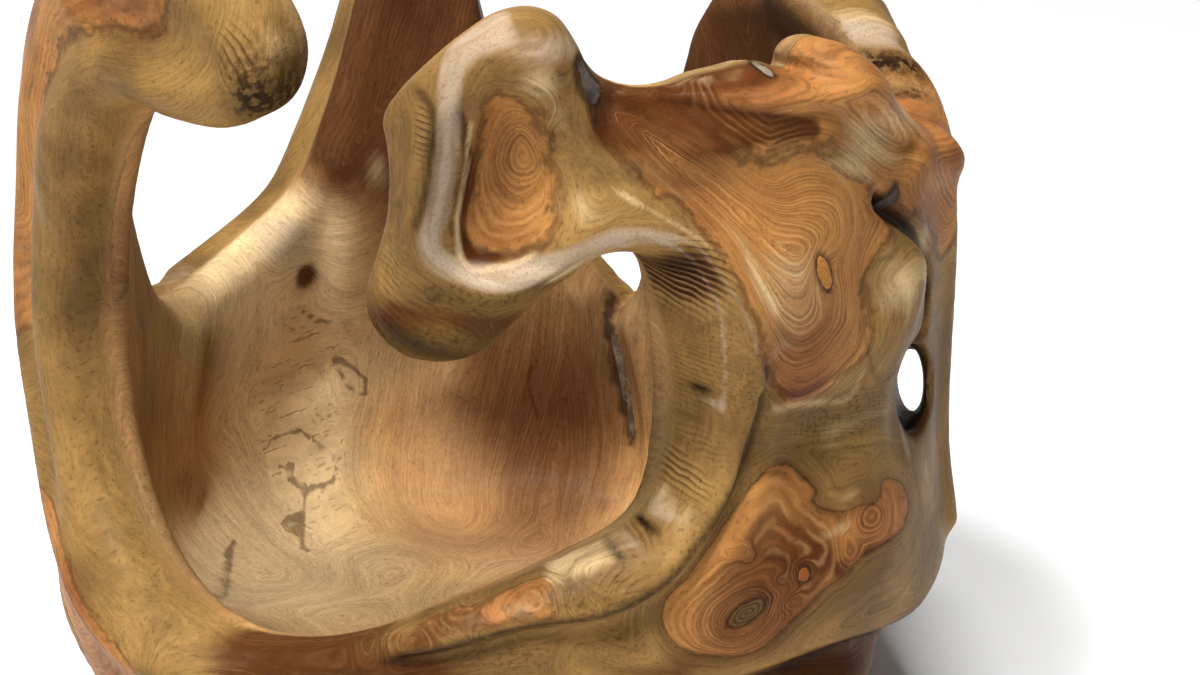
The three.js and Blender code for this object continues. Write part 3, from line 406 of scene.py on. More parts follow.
# The same tints on the inner wall, the ink-like lines that a fungus leaves, and a grey sheen; the pale
# dabs and the sheen also paint light: a highlight on the inner left wall and the lit floor
INNER_PALE = [
    (-135, 130, 60, 80, 0.9), (-120, 60, 140, 30, 0.4), (57, 342, 36, 20, 0.6), (60, 272, 24, 26, 0.4),
    (56, 212, 30, 10, 0.35), (-141, 204, 36, 26, 1.3), (-143.5, 187, 10, 9, -1.4),
    (-128, 190, 26, 20, 0.6), (-138, 96, 30, 26, 0.8), (-157, 240, 10, 14, 0.5),
    (-110, 56, 60, 26, 0.6), (-150, 140, 60, 50, 0.45), (-170, 110, 30, 60, 0.3), (60, 80, 60, 40, 0.3),
    (100, 200, 60, 60, 0.25),
]
INNER_DEEP = [
    (-143, 230, 16, 22, 0.2), (-146, 160, 22, 14, 0.4), (-144, 184, 8, 7, 0.8),
    (-163, 312, 56, 80, 2.2), (-150, 255, 14, 22, 0.55), (-143, 183, 15, 12, 0.75),
    (166, 120, 96, 110, 0.4), (-174, 140, 120, 110, 0.32), (172, 80, 60, 60, 0.4),
    (150, 290, 30, 60, 0.6), (132, 310, 60, 60, 1.6), (100, 320, 80, 60, 1.0), (40, 300, 60, 60, 0.5),
    (-70, 350, 40, 50, 0.5), (0, 340, 30, 60, 0.5),
]
INNER_OLIVE = [
    (-156, 234, 12, 12, 0.6), (-130, 120, 40, 30, 0.2), (25, 290, 16, 30, 0.5), (162, 150, 8, 40, 0.3),
]
SPALT_LINES = [
    [(-134, 97), (-138.5, 102), (-143, 98.5), (-145.5, 90), (-148.2, 80), (-146.6, 72.5), (-141.5, 72.5),
     (-138, 78), (-139.6, 84), (-136.4, 86)],
    [(-141.5, 72.5), (-138.4, 67), (-137, 61), (-134, 58), (-131, 53), (-125, 50)],
    [(-137, 61), (-134, 63), (-131.5, 61)],
    [(-150.2, 136), (-152.6, 130), (-155.4, 119), (-155, 113.5), (-152.6, 117), (-150.6, 128),
     (-149.6, 135)],
    [(-143, 167), (-146, 160), (-149, 156)], [(-120, 66), (-112, 60), (-100, 57), (-92, 60)],
    [(172, 140), (176, 120), (174, 96)],
]
INNER_SHEEN = [(-140, 206, 26, 16, 0.9), (-100, 56, 40, 10, 0.5), (28, 250, 10, 30, 0.3)]

# Which grain shift goes with a millimetre below the outer skin, round the drum and upwards
GRAIN_SLANT = (0.35, -0.6)
GRAIN_INWARDS = 0.3  # how many millimetres the rings go on in a millimetre of depth
FLOOR_FADE, FLOOR_EYE = (50, 135), (38, 22)  # on the floor the grain goes round a place of its own, mm
FLOOR_CORE, FLOOR_PALE, FLOOR_DEEP = -17.5, 0.45, 0.3  # and the floor's sapwood, in mm, and its tints
FACE_SLACK = 6  # how far past either face of the wall a depth still counts, mm
INDOORS = (0.55, 0.75)  # from which share of the wall's thickness to which the inner wall's maps come in
HEART_FADE = (-4, 6)  # where rings go from faint to clear, mm from the heartwood's border
FIGURE_BLEND = 7.0
FEELER = 9.0  # hollow places, which get painted shade, are told from the field this far from the skin, mm
RING_FAINT = 0.16  # how clearly rings show in sapwood
RING_LOST_INDOORS = 0.9  # and how much of them is lost on the inner wall

# Fillings and knots let into the wood, where the solids have theirs
INLAYS = {
    "hook_crack_filling": dict(at=(12.6, 384), tip=10, long=22, wide=10, turn=14, bend=2),
    "crest_crack_filling": dict(at=(38.2, 374.5), tip=52, long=17, wide=6, turn=-14, bend=1),
    "shoulder_crack_filling": dict(at=(56.5, 308), tip=0, long=18, wide=7, turn=-32, bend=1.5),
    "wall_crack_filling": dict(at=(159.2, 126), tip=0, long=88, wide=6, turn=12, bend=3, inside=True),
    "pin_knot": dict(at=(42.2, 291), tip=0, long=19, wide=8, turn=24, bend=0),
    "swirl_knot": dict(at=(32.4, 140), tip=0, long=20, wide=10, turn=-62, bend=0),
    "burl_pin_knot": dict(at=(39.8, 153), tip=0, long=7, wide=6, turn=0, bend=0),
}
INLAY_RINGS, INLAY_SPOKES = 12, 56
INLAY_PROUD, INLAY_DIVE, INLAY_DEEP = 0.25, 0.6, 5.0
INLAY_REACH, INLAY_JUMP = 9, 1.2  # how far the skin may lie from an inlay's plane, and step in a ring
INLAY_AIM = 60  # how far from the wall's middle an inlay's place on the skin is looked for, mm
STAIN_REACH, STAIN_DEPTH = 1.5, 0.8  # width in mm and share of the stain round an inlay
STAIN_LEVEL = 14  # how far from an inlay's plane its stain shows, mm
CHISEL_CURVE = 0.012  # how much a row of chisel marks bends, per mm

# Putties and knots: name, light and dark colour, and the pieces made of it
PUTTIES = [
    ("Dark putty, pressed in", "#4E443F", "#2C2624", ["hook_crack_filling", "shoulder_crack_filling"]),
    ("Light putty, sanded back", "#7C7060", "#5C5040", ["crest_crack_filling"]),
    ("Grey putty on the inner wall", "#6E6252", "#4A3F34", ["wall_crack_filling"]),
]
KNOTS = [
    ("Pin knot, cut through", "#B47C3E", "#9A6430", ["pin_knot"]),
    ("Grey heart of a swirl knot", "#5A4426", "#3E2A14", ["swirl_knot"]),
    ("Burl knot, cut through", "#94582A", "#5A3014", ["burl_pin_knot"]),
]
PUTTY_GRAIN, PUTTY_EDGE = "#2C2422", "#2A1D14"
KNOT_PITS, KNOT_BARK = "#4A2A14", "#3A1F10"
KNOT_RINGS = 3.4  # from the middle of a knot to its edge
PAPER_SHADE = "#DDDDDD"
FINE_WAVE = 2.3  # mm from one fine wave of the grain to the next
# Noises of the grain, fibres, pores, streaks and layers: (mm across it, mm along it, detail)
GRAIN_NOISES = [(1.1, 13, 3), (0.45, 2.6, 1), (3.2, 60, 3), (10, 170, 2)]
THIN_COAT, COAT_ROUGHNESS = 0.02, 0.3
SPECULAR = 0.03  # low, or the white floor mirrored in it greys the undersides

# The studio, in metres
FLOOR_SIDE = 60.0
CAMERA_AIM = (0.053957, -0.199958, 0.275)
CAMERA_DISTANCE, CAMERA_TILT = 1.5, 20.0
CAMERA_LENS, CAMERA_SENSOR = 107.14, 36.0  # millimetres
CAMERA_SIGHT = 50
# The lights: place, side and spread in degrees
KEY_LIGHT = ((-3.0, -3.4, 8.6), 2.4, 180)
FILL_LIGHT = ((-1.4, -4.2, 2.2), 1.8, 180)
TOP_LIGHT = ((0.1, -0.5, 2.3), 0.5, 50)


# The unrolled drum

COLUMNS = int(round(TURN / MAP_STEP))
ROWS = int(math.ceil(MAP_TOP / MAP_STEP)) + 1
UP = np.arange(ROWS) * MAP_STEP
AROUND = (np.arange(COLUMNS) / COLUMNS - 0.5) * TURN


def smooth_path(points, steps=6):
    """A curve through [degrees, height] points, in mm on the unrolled drum.

    Between two points it is the cubic whose slopes there come from their neighbours, with parameter
    steps that are the square roots of the chords, so it doesn't loop at close points.
    """
    p = np.array([(math.radians(a) * UNROLLED, z) for a, z in points], float)
    p = np.vstack([2 * p[0] - p[1], p, 2 * p[-1] - p[-2]])
    dt = np.maximum(np.linalg.norm(np.diff(p, axis=0), axis=1) ** 0.5, 1e-6)[:, None]
    x0, x1, x2, x3 = p[:-3], p[1:-2], p[2:-1], p[3:]
    d0, d1, d2 = dt[:-2], dt[1:-1], dt[2:]
    slope1 = ((x1 - x0) / d0 - (x2 - x0) / (d0 + d1) + (x2 - x1) / d1) * d1
    slope2 = ((x2 - x1) / d1 - (x3 - x1) / (d1 + d2) + (x3 - x2) / d2) * d1
    t = np.linspace(0, 1, steps, endpoint=False)[None, :, None]
    square = (-3 * x1 + 3 * x2 - 2 * slope1 - slope2)[:, None, :]
    cube = (2 * x1 - 2 * x2 + slope1 + slope2)[:, None, :]
    curve = x1[:, None, :] + slope1[:, None, :] * t + square * t ** 2 + cube * t ** 3
    return np.vstack([curve.reshape(-1, 2), p[-2]])


def window(low, high, reach):
    """The map's columns, their place round the drum, its rows and their heights, near a box."""
    first = math.floor((low[0] - reach + TURN / 2) / TURN * COLUMNS)
    last = math.ceil((high[0] + reach + TURN / 2) / TURN * COLUMNS)
    i = np.arange(first, last + 1)[:COLUMNS]
    j0 = max(int((low[1] - reach) / MAP_STEP), 0)
    j1 = min(int((high[1] + reach) / MAP_STEP) + 2, ROWS)
    return i % COLUMNS, (i / COLUMNS - 0.5) * TURN, slice(j0, j1), UP[j0:j1]


def from_piece(start, end, u, v):
    """Distance of each point of a window from a straight piece, the share along it, and the side."""
    dx, dy = end[0] - start[0], end[1] - start[1]
    px, py = u[:, None] - start[0], v[None, :] - start[1]
    t = np.clip((px * dx + py * dy) / (dx * dx + dy * dy), 0, 1)
    return np.hypot(px - dx * t, py - dy * t), t, np.where(dx * py - dy * px < 0, -1, 1)


def stroke_map(strokes):
    """The sum of strokes: each is its amount times a bell of the offset from its path.

    The bell has one width to the path's left and one to its right, and the stroke fades in and out
    over its ends.
    """
    out = np.zeros((COLUMNS, ROWS))
    for points, left, right, amount in strokes:
        line = smooth_path(points, 5)
        reach = 3.0 * max(left, right)  # the bell is spent there
        cols, u, rows, v = window(line.min(0), line.max(0), reach)
        near = np.full((len(u), len(v)), reach)
        side = np.ones_like(near)
        along = np.zeros_like(near)
        gone = 0.0
        for start, end in zip(line[:-1], line[1:]):
            distance, t, hand = from_piece(start, end, u, v)
            length = math.hypot(*(end - start))
            closer = distance < near
            near[closer] = distance[closer]
            side[closer] = hand[closer]
            along[closer] = (gone + t * length)[closer]
            gone += length
        fade = np.clip(np.minimum(along, gone - along) / max(LINE_FADE, left, right), 0, 1)
        bell = np.exp(-((near / np.where(side > 0, left, right)) ** 2))
        out[cols, rows] += amount * fade * fade * (3 - 2 * fade) * bell
    return out


def dab_map(dabs):
    """The sum of dabs: each is its amount times a bell of the place round and the height."""
    out = np.zeros((COLUMNS, ROWS))
    for degrees, height, wide, tall, amount in dabs:
        turns = AROUND / TURN - degrees / 360
        a = (turns - np.round(turns)) * TURN / wide
        b = (UP - height) / tall
        out += amount * np.exp(-a[:, None] ** 2 - b[None, :] ** 2)
    return out


def path_distance(paths):
    """Distance from the nearest of some open paths."""
    out = np.full((COLUMNS, ROWS), FAR)
    for points in paths:
        line = smooth_path(points, 4)
        for start, end in zip(line[:-1], line[1:]):
            cols, u, rows, v = window(np.minimum(start, end), np.maximum(start, end), FAR)
            out[cols, rows] = np.minimum(out[cols, rows], from_piece(start, end, u, v)[0])
    return out


def outline_distance(line):
    """Signed distance from a closed line, negative within.

    A place is within where a line straight up from it crosses the closed line an odd number of times.
    """
    distance = np.full((COLUMNS, ROWS), FAR)
    inside = np.zeros((COLUMNS, ROWS), bool)
    for start, end in zip(line[:-1], line[1:]):
        cols, u, rows, v = window(np.minimum(start, end), np.maximum(start, end), FAR)
        distance[cols, rows] = np.minimum(distance[cols, rows], from_piece(start, end, u, v)[0])
        crossed = (start[0] > u) != (end[0] > u)
        for column, place in zip(cols[crossed], u[crossed]):
            height = start[1] + (end[1] - start[1]) * (place - start[0]) / (end[0] - start[0])
            inside[column, UP < height] ^= True
    return np.where(inside, -distance, distance)


def rim_distance():
    """The same from the rim, which closes on itself round the drum: negative in the wood."""
    line = smooth_path([(a - 360, z) for a, z in RIM[-3:]] + RIM + [(a + 360, z) for a, z in RIM[:3]])
    start = [-TURN / 2, RIM[0][1]]
    end = [TURN / 2, RIM[0][1]]
    first, last = (np.argmin(np.hypot(*(line - seam).T)) for seam in (start, end))
    return outline_distance(line[first:last + 1])


def closed(points):
    """A smooth closed line through points: it runs two points past itself, and those ends are cut off."""
    steps = 6
    line = smooth_path(points[-2:] + points + points[:3], steps)
    return line[2 * steps:-2 * steps]


def wall_map():
    """What the wall is at each place: rim distance, outer and inner reach, slant and rounding."""
    edge = rim_distance()
    lean = dab_map(LEANS)
    lip = LIP_RISE * np.exp(-(((-edge - LIP_INSET) / LIP_WIDTH) ** 2))
    outer = WALL_OUT + lean + lip + dab_map(OUTER_SWELLS + PITS) + stroke_map(OUTER_LINES)
    inner = WALL_IN - lean + dab_map(INNER_SWELLS) + stroke_map(INNER_LINES)
    return np.stack([edge, outer, inner, dab_map(SLANTS), EDGE_ROUND + dab_map(ROUNDINGS)], axis=-1)


def read_map(table, angle, height):
    """A map's value at an angle and a height, straight between the four map points round it."""
    u = (angle / (2 * np.pi) + 0.5) * COLUMNS
    v = np.clip(height / MAP_STEP, 0, ROWS - 1.001)
    i, j = np.floor(u).astype(int), np.floor(v).astype(int)
    s, t = u - i, v - j
    if table.ndim == 3:
        s, t = s[:, None], t[:, None]
    i0, i1 = i % COLUMNS, (i + 1) % COLUMNS
    low = table[i0, j] * (1 - s) + table[i1, j] * s
    return low * (1 - t) + (table[i0, j + 1] * (1 - s) + table[i1, j + 1] * s) * t


# The wood's field

WALL = wall_map()


def blend(a, b, width):
    """The lesser of two distances, rounded over a width where they meet."""
    h = np.maximum(width - np.abs(a - b), 0) / width
    return np.minimum(a, b) - h * h * width / 4


def on_drum(degrees, radius, height):
    """The point at an angle from the front, a radius and a height."""
    a = math.radians(degrees)
    return np.array([math.sin(a) * radius, -math.cos(a) * radius, height])


def drum_radius(angle):
    """The drum's radius at an angle: a little wider at the two sides, as the square of the sine."""
    return DRUM_RADIUS + DRUM_WIDER * np.sin(angle) ** 2


def bar(p, start, end, start_radius, end_radius):
    """Distance from a round bar that tapers from one end to the other."""
    d = end - start
    t = np.clip((p - start) @ d / (d @ d), 0, 1)
    radius = start_radius + (end_radius - start_radius) * t
    return np.linalg.norm(p - start - t[:, None] * d, axis=1) - radius


def corner_distance(a, b):
    """The greater of two distances within, and the distance from their common corner outside."""
    return np.hypot(np.maximum(a, 0), np.maximum(b, 0)) + np.minimum(np.maximum(a, b), 0)


def across_wall(radius, angle, z):
    """Signed distance from the wall's middle: a drum with a rounded bottom corner and a flat floor."""
    out = radius - (drum_radius(angle) - BOTTOM_CORNER)
    down = FLOOR_MIDDLE + BOTTOM_CORNER - z
    return corner_distance(out, down) - BOTTOM_CORNER


TUNNEL_POINTS = [on_drum(a, drum_radius(math.radians(a)) + out, z) for a, out, z in TUNNEL]


def tunnel(p):
    """Distance from an oval tube whose middle runs along the tunnel's points from front to back."""
    near = np.full(len(p), np.inf)
    for a, b in zip(TUNNEL_POINTS[:-1], TUNNEL_POINTS[1:]):
        t = np.clip((p[:, 1] - a[1]) / (b[1] - a[1]), 0, 1)
        off = p - a - t[:, None] * (b - a)
        level = np.hypot(off[:, 0], off[:, 1]) / TUNNEL_WIDE
        near = np.minimum(near, (np.hypot(level, off[:, 2] / TUNNEL_TALL) - 1) * TUNNEL_WIDE)
    return near


def lumps(p):
    """The slow unevenness of hand carving: three crossed waves, each bent by another."""
    x, y, z = p.T / LUMP_LENGTH
    waves = [np.sin(a + LUMP_BEND * np.sin(LUMP_SLOWER * b)) for a, b in ((x, z), (y, x), (z, y))]
    return LUMP_RISE * (waves[0] + waves[1] + waves[2])


def with_legs(p, d, across):
    """The wall's distance joined smoothly with the six root legs, outside the wall's middle only."""
    for degrees, reach, knee, step_in in LEGS:
        hip = on_drum(degrees, LEG_HIP, FLOOR_MIDDLE - LEG_DROP)
        bend = on_drum(degrees, reach - knee, KNEE_HEIGHT)
        foot = on_drum(degrees, reach - knee - step_in, 0)
        thigh, shin = bar(p, hip, bend, HIP_RADIUS, knee), bar(p, bend, foot, knee, knee * FOOT_SHARE)
        d = blend(d, np.maximum(blend(thigh, shin, LEG_BLEND), -across), LEG_BLEND)
    return d


def wood(p):
    """Distance from the skin: a thick sheet with a rounded rim, its legs, its tunnel, cut at the floor.

    The sheet is the greater of the distance from its two faces and from its rim, with the corner
    between them rounded.
    """
    x, y, z = p.T
    radius, angle = np.hypot(x, y), np.arctan2(x, -y)
    edge, outer, inner, slant, rounding = read_map(WALL, angle, z).T
    across = across_wall(radius, angle, z)
    half, middle = (outer + inner) / 2, (outer - inner) / 2
    r = np.minimum(rounding, MOST_ROUND * half)
    a = np.abs(across - middle) - half + r
    b = edge + slant * np.clip((across - middle) / half, -1, 1) + r
    d = corner_distance(a, b) - r
    low = np.flatnonzero(z < LEG_TOP)
    d[low] = with_legs(p[low], d[low], across[low])
    near = np.flatnonzero((x > TUNNEL_BEYOND) & (np.abs(z - TUNNEL_LEVEL) < TUNNEL_ABOUT))
    d[near] = -blend(-d[near], tunnel(p[near]), TUNNEL_BLEND)
    return np.maximum(d - lumps(p), -z)


# The skin's mesh

BLOCK = 8  # finest cells along a block
CELLS = (1, 2, 4)  # sides of the three kinds of cell, in finest cells
FIELD_SLOPE = 1.6  # a block is looked into if the field at its middle is below this many block sides
GRID_LOW, GRID_HIGH = np.array([-240.0, -240.0, -12.0]), np.array([244.0, 240.0, 452.0])
NEAR_SIDE, NEAR_ABOVE, NEAR_BEYOND = (-24, 76), 96, 165  # degrees, height and radius of the finest part
PLAIN_BELOW = 70  # the underside, and the back from this angle, past this radius and below this height
BACK_FROM, BACK_BEYOND, BACK_BELOW = 120, 190, 200


def cell_width(centres):
    """How wide each block's cells are: the near side's finest, the underside's and the back's coarsest."""
    x, y, z = centres.T
    angle, radius = np.degrees(np.arctan2(x, -y)), np.hypot(x, y)
    near_side = (angle > NEAR_SIDE[0]) & (angle < NEAR_SIDE[1]) & (z > NEAR_ABOVE) & (radius > NEAR_BEYOND)
    back = (np.abs(angle) > BACK_FROM) & (radius > BACK_BEYOND) & (z < BACK_BELOW)
    return np.where(near_side, CELLS[0], np.where((z < PLAIN_BELOW) | back, CELLS[2], CELLS[1]))


def crossings(field, blocks, width, low, finest):
    """Grid edges in some blocks whose ends lie on both sides of the skin."""
    local = np.arange(BLOCK // width + 1) * width
    at = blocks[:, None, None, None, :] + np.stack(np.meshgrid(local, local, local, indexing="ij"), -1)
    values = field(low + at.reshape(-1, 3) * finest).reshape(at.shape[:-1])
    found = []
    for axis in range(3):
        start = np.moveaxis(values, axis + 1, 1)[:, :-1]
        end = np.moveaxis(values, axis + 1, 1)[:, 1:]
        place = np.moveaxis(at, axis + 1, 1)[:, :-1]
        hit = (start < 0) != (end < 0)
        same = np.ones(int(hit.sum()))
        found.append(np.column_stack([place[hit], same * axis, same * width, start[hit], end[hit]]))
    return np.vstack(found)


def skin_mesh(field, low, high, finest):
    """Points and quads of a field's zero surface, on cubic cells of three sizes.

    Each grid edge that crosses the skin makes a quad between the four cells round it, and each cell
    that has such an edge gets one point, the mean of its crossings. At a border between cell sizes
    the smaller edges count, so the two sides meet without a gap.
    """
    side = BLOCK * finest
    n = np.ceil((high - low) / side).astype(int)
    grid = np.stack(np.meshgrid(*[np.arange(k) for k in n], indexing="ij"), -1).reshape(-1, 3)
    centres = low + (grid + 0.5) * side
    width = cell_width(centres)
    active = np.abs(field(centres)) < side * FIELD_SLOPE
    edges = np.vstack([
        crossings(field, grid[active & (width == w)] * BLOCK, w, low, finest) for w in CELLS
    ])
    whole = edges[:, :5].astype(np.int64)
    span = n * BLOCK + 1
    place = (whole[:, 0] * span[1] + whole[:, 1]) * span[2] + whole[:, 2]
    first = np.unique((place * 3 + whole[:, 3]) * 8 + whole[:, 4], return_index=True)[1]
    whole, values = whole[first], edges[first, 5:]
    axis, w = whole[:, 3], whole[:, 4]
    width = width.reshape(n)
    others = np.array([(1, 2), (2, 0), (0, 1)])[axis]
    rows = np.arange(len(whole))
    cells = []
    for step_b, step_c in ((-1, -1), (0, -1), (0, 0), (-1, 0)):
        q = whole[:, :3].copy()
        q[rows, others[:, 0]] += step_b
        q[rows, others[:, 1]] += step_c
        block = np.clip(q // BLOCK, 0, n - 1)
        size = width[block[:, 0], block[:, 1], block[:, 2]]
        cells.append(np.column_stack([q // size[:, None] * size[:, None], size]))
    cells = np.stack(cells, 1)
    keep = cells[:, :, 3].min(1) == w
    whole, values, cells, axis, w = whole[keep], values[keep], cells[keep], axis[keep], w[keep]
    key = ((cells[..., 0] * span[1] + cells[..., 1]) * span[2] + cells[..., 2]) * 8 + cells[..., 3]
    ids = np.unique(key, return_inverse=True)[1].reshape(-1, 4)
    crossing = whole[:, :3].astype(float)
    crossing[np.arange(len(whole)), axis] += values[:, 0] / (values[:, 0] - values[:, 1]) * w
    crossing = low + crossing * finest
    count = np.bincount(ids.ravel())
    sums = [np.bincount(ids.ravel(), np.repeat(crossing[:, c], 4)) for c in range(3)]
    quads = np.where((values[:, 0] < 0)[:, None], ids, ids[:, ::-1])
    return np.column_stack(sums) / count[:, None], quads


def slope(field, p, step=0.4):
    """The field's slope at points, from its values a step to either side along each axis."""
    steps = np.eye(3) * step
    return np.column_stack([(field(p + e) - field(p - e)) / (2 * step) for e in steps])


def settle(field, p, rounds=3, most=1.5, flattest=0.15):
    """Points moved along the field's slope until the field is zero there, a few mm at most."""
    for _ in range(rounds):
        g = slope(field, p)
        move = -(field(p) / np.maximum((g ** 2).sum(1), flattest))[:, None] * g
        length = np.linalg.norm(move, axis=1, keepdims=True)
        p = p + move * np.minimum(1, most / np.maximum(length, 1e-9))
    return p


def quads_and_triangles(quads):
    """Quads with two corners in one cell become triangles."""
    same = quads == np.roll(quads, -1, 1)
    triangles = [np.delete(quads[same[:, k] & (same.sum(1) == 1)], k, axis=1) for k in range(4)]
    return quads[~same.any(1)], np.vstack(triangles)


# The grain on the skin


def figure_rings(figure):
    """Rings of a figure: minus the depth between its outlines, and the plain distance outside.

    Between two outlines the depth goes from one to the other in the ratio of the distances from them.
    """
    depths = [depth for depth, _ in figure]
    distances = [outline_distance(closed(points)) for _, points in figure]
    rings = distances[0].copy()
    for k, distance in enumerate(distances):
        within = distance < 0
        if k + 1 < len(figure):
            share = -distance / np.maximum(np.abs(distances[k + 1]) - distance, 1e-6)
            inner = -(depths[k] + share * (depths[k + 1] - depths[k]))
        else:
            inner = distance - depths[k]
        rings[within] = inner[within]
    return rings, distances[0]


def grain_maps(figures, paths, burls):
    """Ring depth and heartwood distance (positive inside) on the unrolled drum."""
    rings = path_distance(paths)
    heart = np.full_like(rings, FAR)
    for sharpness, figure in figures:
        depth, border = figure_rings(figure)
        rings = blend(rings, depth, FIGURE_BLEND)
        heart = np.minimum(heart, border * sharpness)
    return rings + dab_map(burls), -heart


def chisel_maps():
    """How far across the nearest chisel marks each place is, in marks, and how deep they are there."""
    phase, depth = np.zeros((COLUMNS, ROWS)), np.zeros((COLUMNS, ROWS))
    for degrees, height, wide, tall, direction, spacing, deep in CHISEL_MARKS:
        turns = AROUND / TURN - degrees / 360
        u = ((turns - np.round(turns)) * TURN)[:, None]
        v = (UP - height)[None, :]
        here = deep * np.exp(-((u / wide) ** 2) - (v / tall) ** 2)
        a = math.radians(direction)
        along = u * math.sin(a) - v * math.cos(a)
        across = (u * math.cos(a) + v * math.sin(a) + CHISEL_CURVE * along ** 2) / spacing
        phase, depth = np.where(here > depth, across, phase), np.maximum(here, depth)
    return phase, depth


def smooth(low, high, value):
    """0 below low, 1 above high, an S between them."""
    t = np.clip((value - low) / (high - low), 0, 1)
    return t * t * (3 - 2 * t)


def inlay_frame(at, tip, turn, inside=False, **_):
    """Where an inlay's middle lies on the skin, and its directions: across, up and outwards."""
    rise = math.radians(tip)
    level = -math.cos(rise) if inside else math.cos(rise)
    outwards = on_drum(at[0], level, math.sin(rise))
    across = np.array([-outwards[1], outwards[0], 0.0])
    across /= np.linalg.norm(across)
    up = np.cross(outwards, across)
    c, s = math.cos(math.radians(turn)), math.sin(math.radians(turn))
    middle = on_drum(at[0], drum_radius(math.radians(at[0])), at[1])
    middle = onto_skin(middle[None], outwards, INLAY_AIM, INLAY_AIM)[0]
    return middle, c * across + s * up, c * up - s * across, outwards


def onto_skin(points, outwards, above, below):
    """Points slid inwards along a direction to where the wood starts, found by halving."""
    steps = np.arange(-above, below, 1.0)
    line = points[:, None, :] - steps[None, :, None] * outwards
    within = wood(line.reshape(-1, 3)).reshape(len(points), -1) < 0
    last = steps[np.maximum(within.argmax(1), 1)]
    first = last - 1.0
    for _ in range(8):
        half = (first + last) / 2
        inner = wood(points - half[:, None] * outwards) < 0
        first, last = np.where(inner, first, half), np.where(inner, half, last)
    return points - last[:, None] * outwards


def leaf(t, long, wide, bend, ragged=0.05, **_):
    """The outline of an inlay at angles t: an ellipse with its middle bent to one side, and uneven."""
    uneven = 1 + ragged * (np.sin(3 * t + long) + np.sin(5 * t + wide) + 0.7 * np.sin(11 * t))
    x = np.sin(t) * wide / 2 * uneven + bend * (1 - np.cos(t) ** 2)
    return np.column_stack([x, np.cos(t) * long / 2 * (1 + 0.3 * (uneven - 1))])


def stains(p):
    """How dark the wood is round the inlays: a bell of the distance outside each one's outline."""
    out = np.zeros(len(p))
    for inlay in INLAYS.values():
        middle, across, up, outwards = inlay_frame(**inlay)
        q = p - middle
        x, y = q @ across, q @ up
        round_about = np.hypot(x / inlay["wide"], y / inlay["long"]) * 2
        gap = (round_about - 1) * np.hypot(x, y) / np.maximum(round_about, 1e-6)
        near = np.abs(q @ outwards) < STAIN_LEVEL
        out += near * np.exp(-np.maximum(gap, 0) ** 2 / STAIN_REACH ** 2)
    return out


def skin_attributes(p):
    """The grain, tints with some painted shade and highlight, wear with painted sheen and shade, marks, and
    painted hollow shade with the indoor share, at points of the skin, as five sets of three values.
    """
    x, y, z = p.T
    angle = np.arctan2(x, -y)
    outer, inner = read_map(WALL, angle, z).T[1:3]
    across = across_wall(np.hypot(x, y), angle, z)
    depth = np.clip(outer - across, -FACE_SLACK, outer + inner + FACE_SLACK)
    indoors = smooth(*INDOORS, depth / (outer + inner))
    shallow = depth * (1 - indoors)
    on_wall = smooth(*FLOOR_FADE, np.hypot(x, y))

    def both(outside, within, slanted=False, floor=0.0):
        """One map outside and another inside, where it gives way to the floor's own value.

        With a slant the grain runs on over the rim's edge.
        """
        turn, rise = (GRAIN_SLANT[0] * shallow / UNROLLED, GRAIN_SLANT[1] * shallow) if slanted else (0, 0)
        inner = read_map(within, angle, z) * on_wall + floor * (1 - on_wall)
        return read_map(outside, angle + turn, z + rise) * (1 - indoors) + inner * indoors

    rings, heart = grain_maps(FIGURES, GRAIN_PATHS, BURLS)
    inner_rings, inner_heart = grain_maps(INNER_FIGURES, INNER_PATHS, INNER_BURLS)
    floor_rings = np.hypot(x - FLOOR_EYE[0], y - FLOOR_EYE[1])
    age = both(rings, inner_rings, True, floor_rings) + GRAIN_INWARDS * shallow
    core = both(heart, inner_heart, True, FLOOR_CORE)
    clear = RING_FAINT + (1 - RING_FAINT) * smooth(*HEART_FADE, core) * (1 - RING_LOST_INDOORS * indoors)

    nothing = np.zeros((COLUMNS, ROWS))
    # pale wood, partly painted light on the band's ledge and indoors
    pale = both(dab_map(PALE) + stroke_map(PALE_LINES), dab_map(INNER_PALE), floor=FLOOR_PALE)
    # deep red wood, partly painted shade
    deep = both(dab_map(DEEP_RED_AND_SHADE) + stroke_map(DEEP_RED_AND_SHADE_LINES), dab_map(INNER_DEEP), floor=FLOOR_DEEP)
    olive = both(dab_map(OLIVE), dab_map(INNER_OLIVE))
    # grey sheen: partly worn wood, partly painted highlight
    sheen = both(dab_map(SHEEN_DABS) + stroke_map(SHEEN_LINES), dab_map(INNER_SHEEN))
    # dark marks and stains, partly painted shade in creases, grooves, pits and under edges
    dark = both(dab_map(DARK_DABS) + stroke_map(DARK_LINES), nothing)
    rough = read_map(dab_map(ROUGH), angle, z)
    phase, mark = chisel_maps()
    spalt = both(nothing + FAR, path_distance(SPALT_LINES), floor=FAR)

    outwards = slope(wood, p)
    outwards /= np.maximum(np.linalg.norm(outwards, axis=1, keepdims=True), 1e-6)
    # how enclosed each point is; the material darkens it as painted shade
    hollow_shade = np.clip(1 - wood(p + outwards * FEELER) / FEELER, 0, 1)
    return {
        "grain": (age, core, clear),
        "tint": (pale, deep, olive),
        "wear_sheen_and_shade": (sheen, np.maximum(dark, stains(p) * STAIN_DEPTH), rough),
        "marks": (read_map(phase, angle, z), both(mark, nothing), spalt),
        "hollow_shade_and_indoors": (hollow_shade, indoors, np.zeros(len(p))),
    }


# Objects


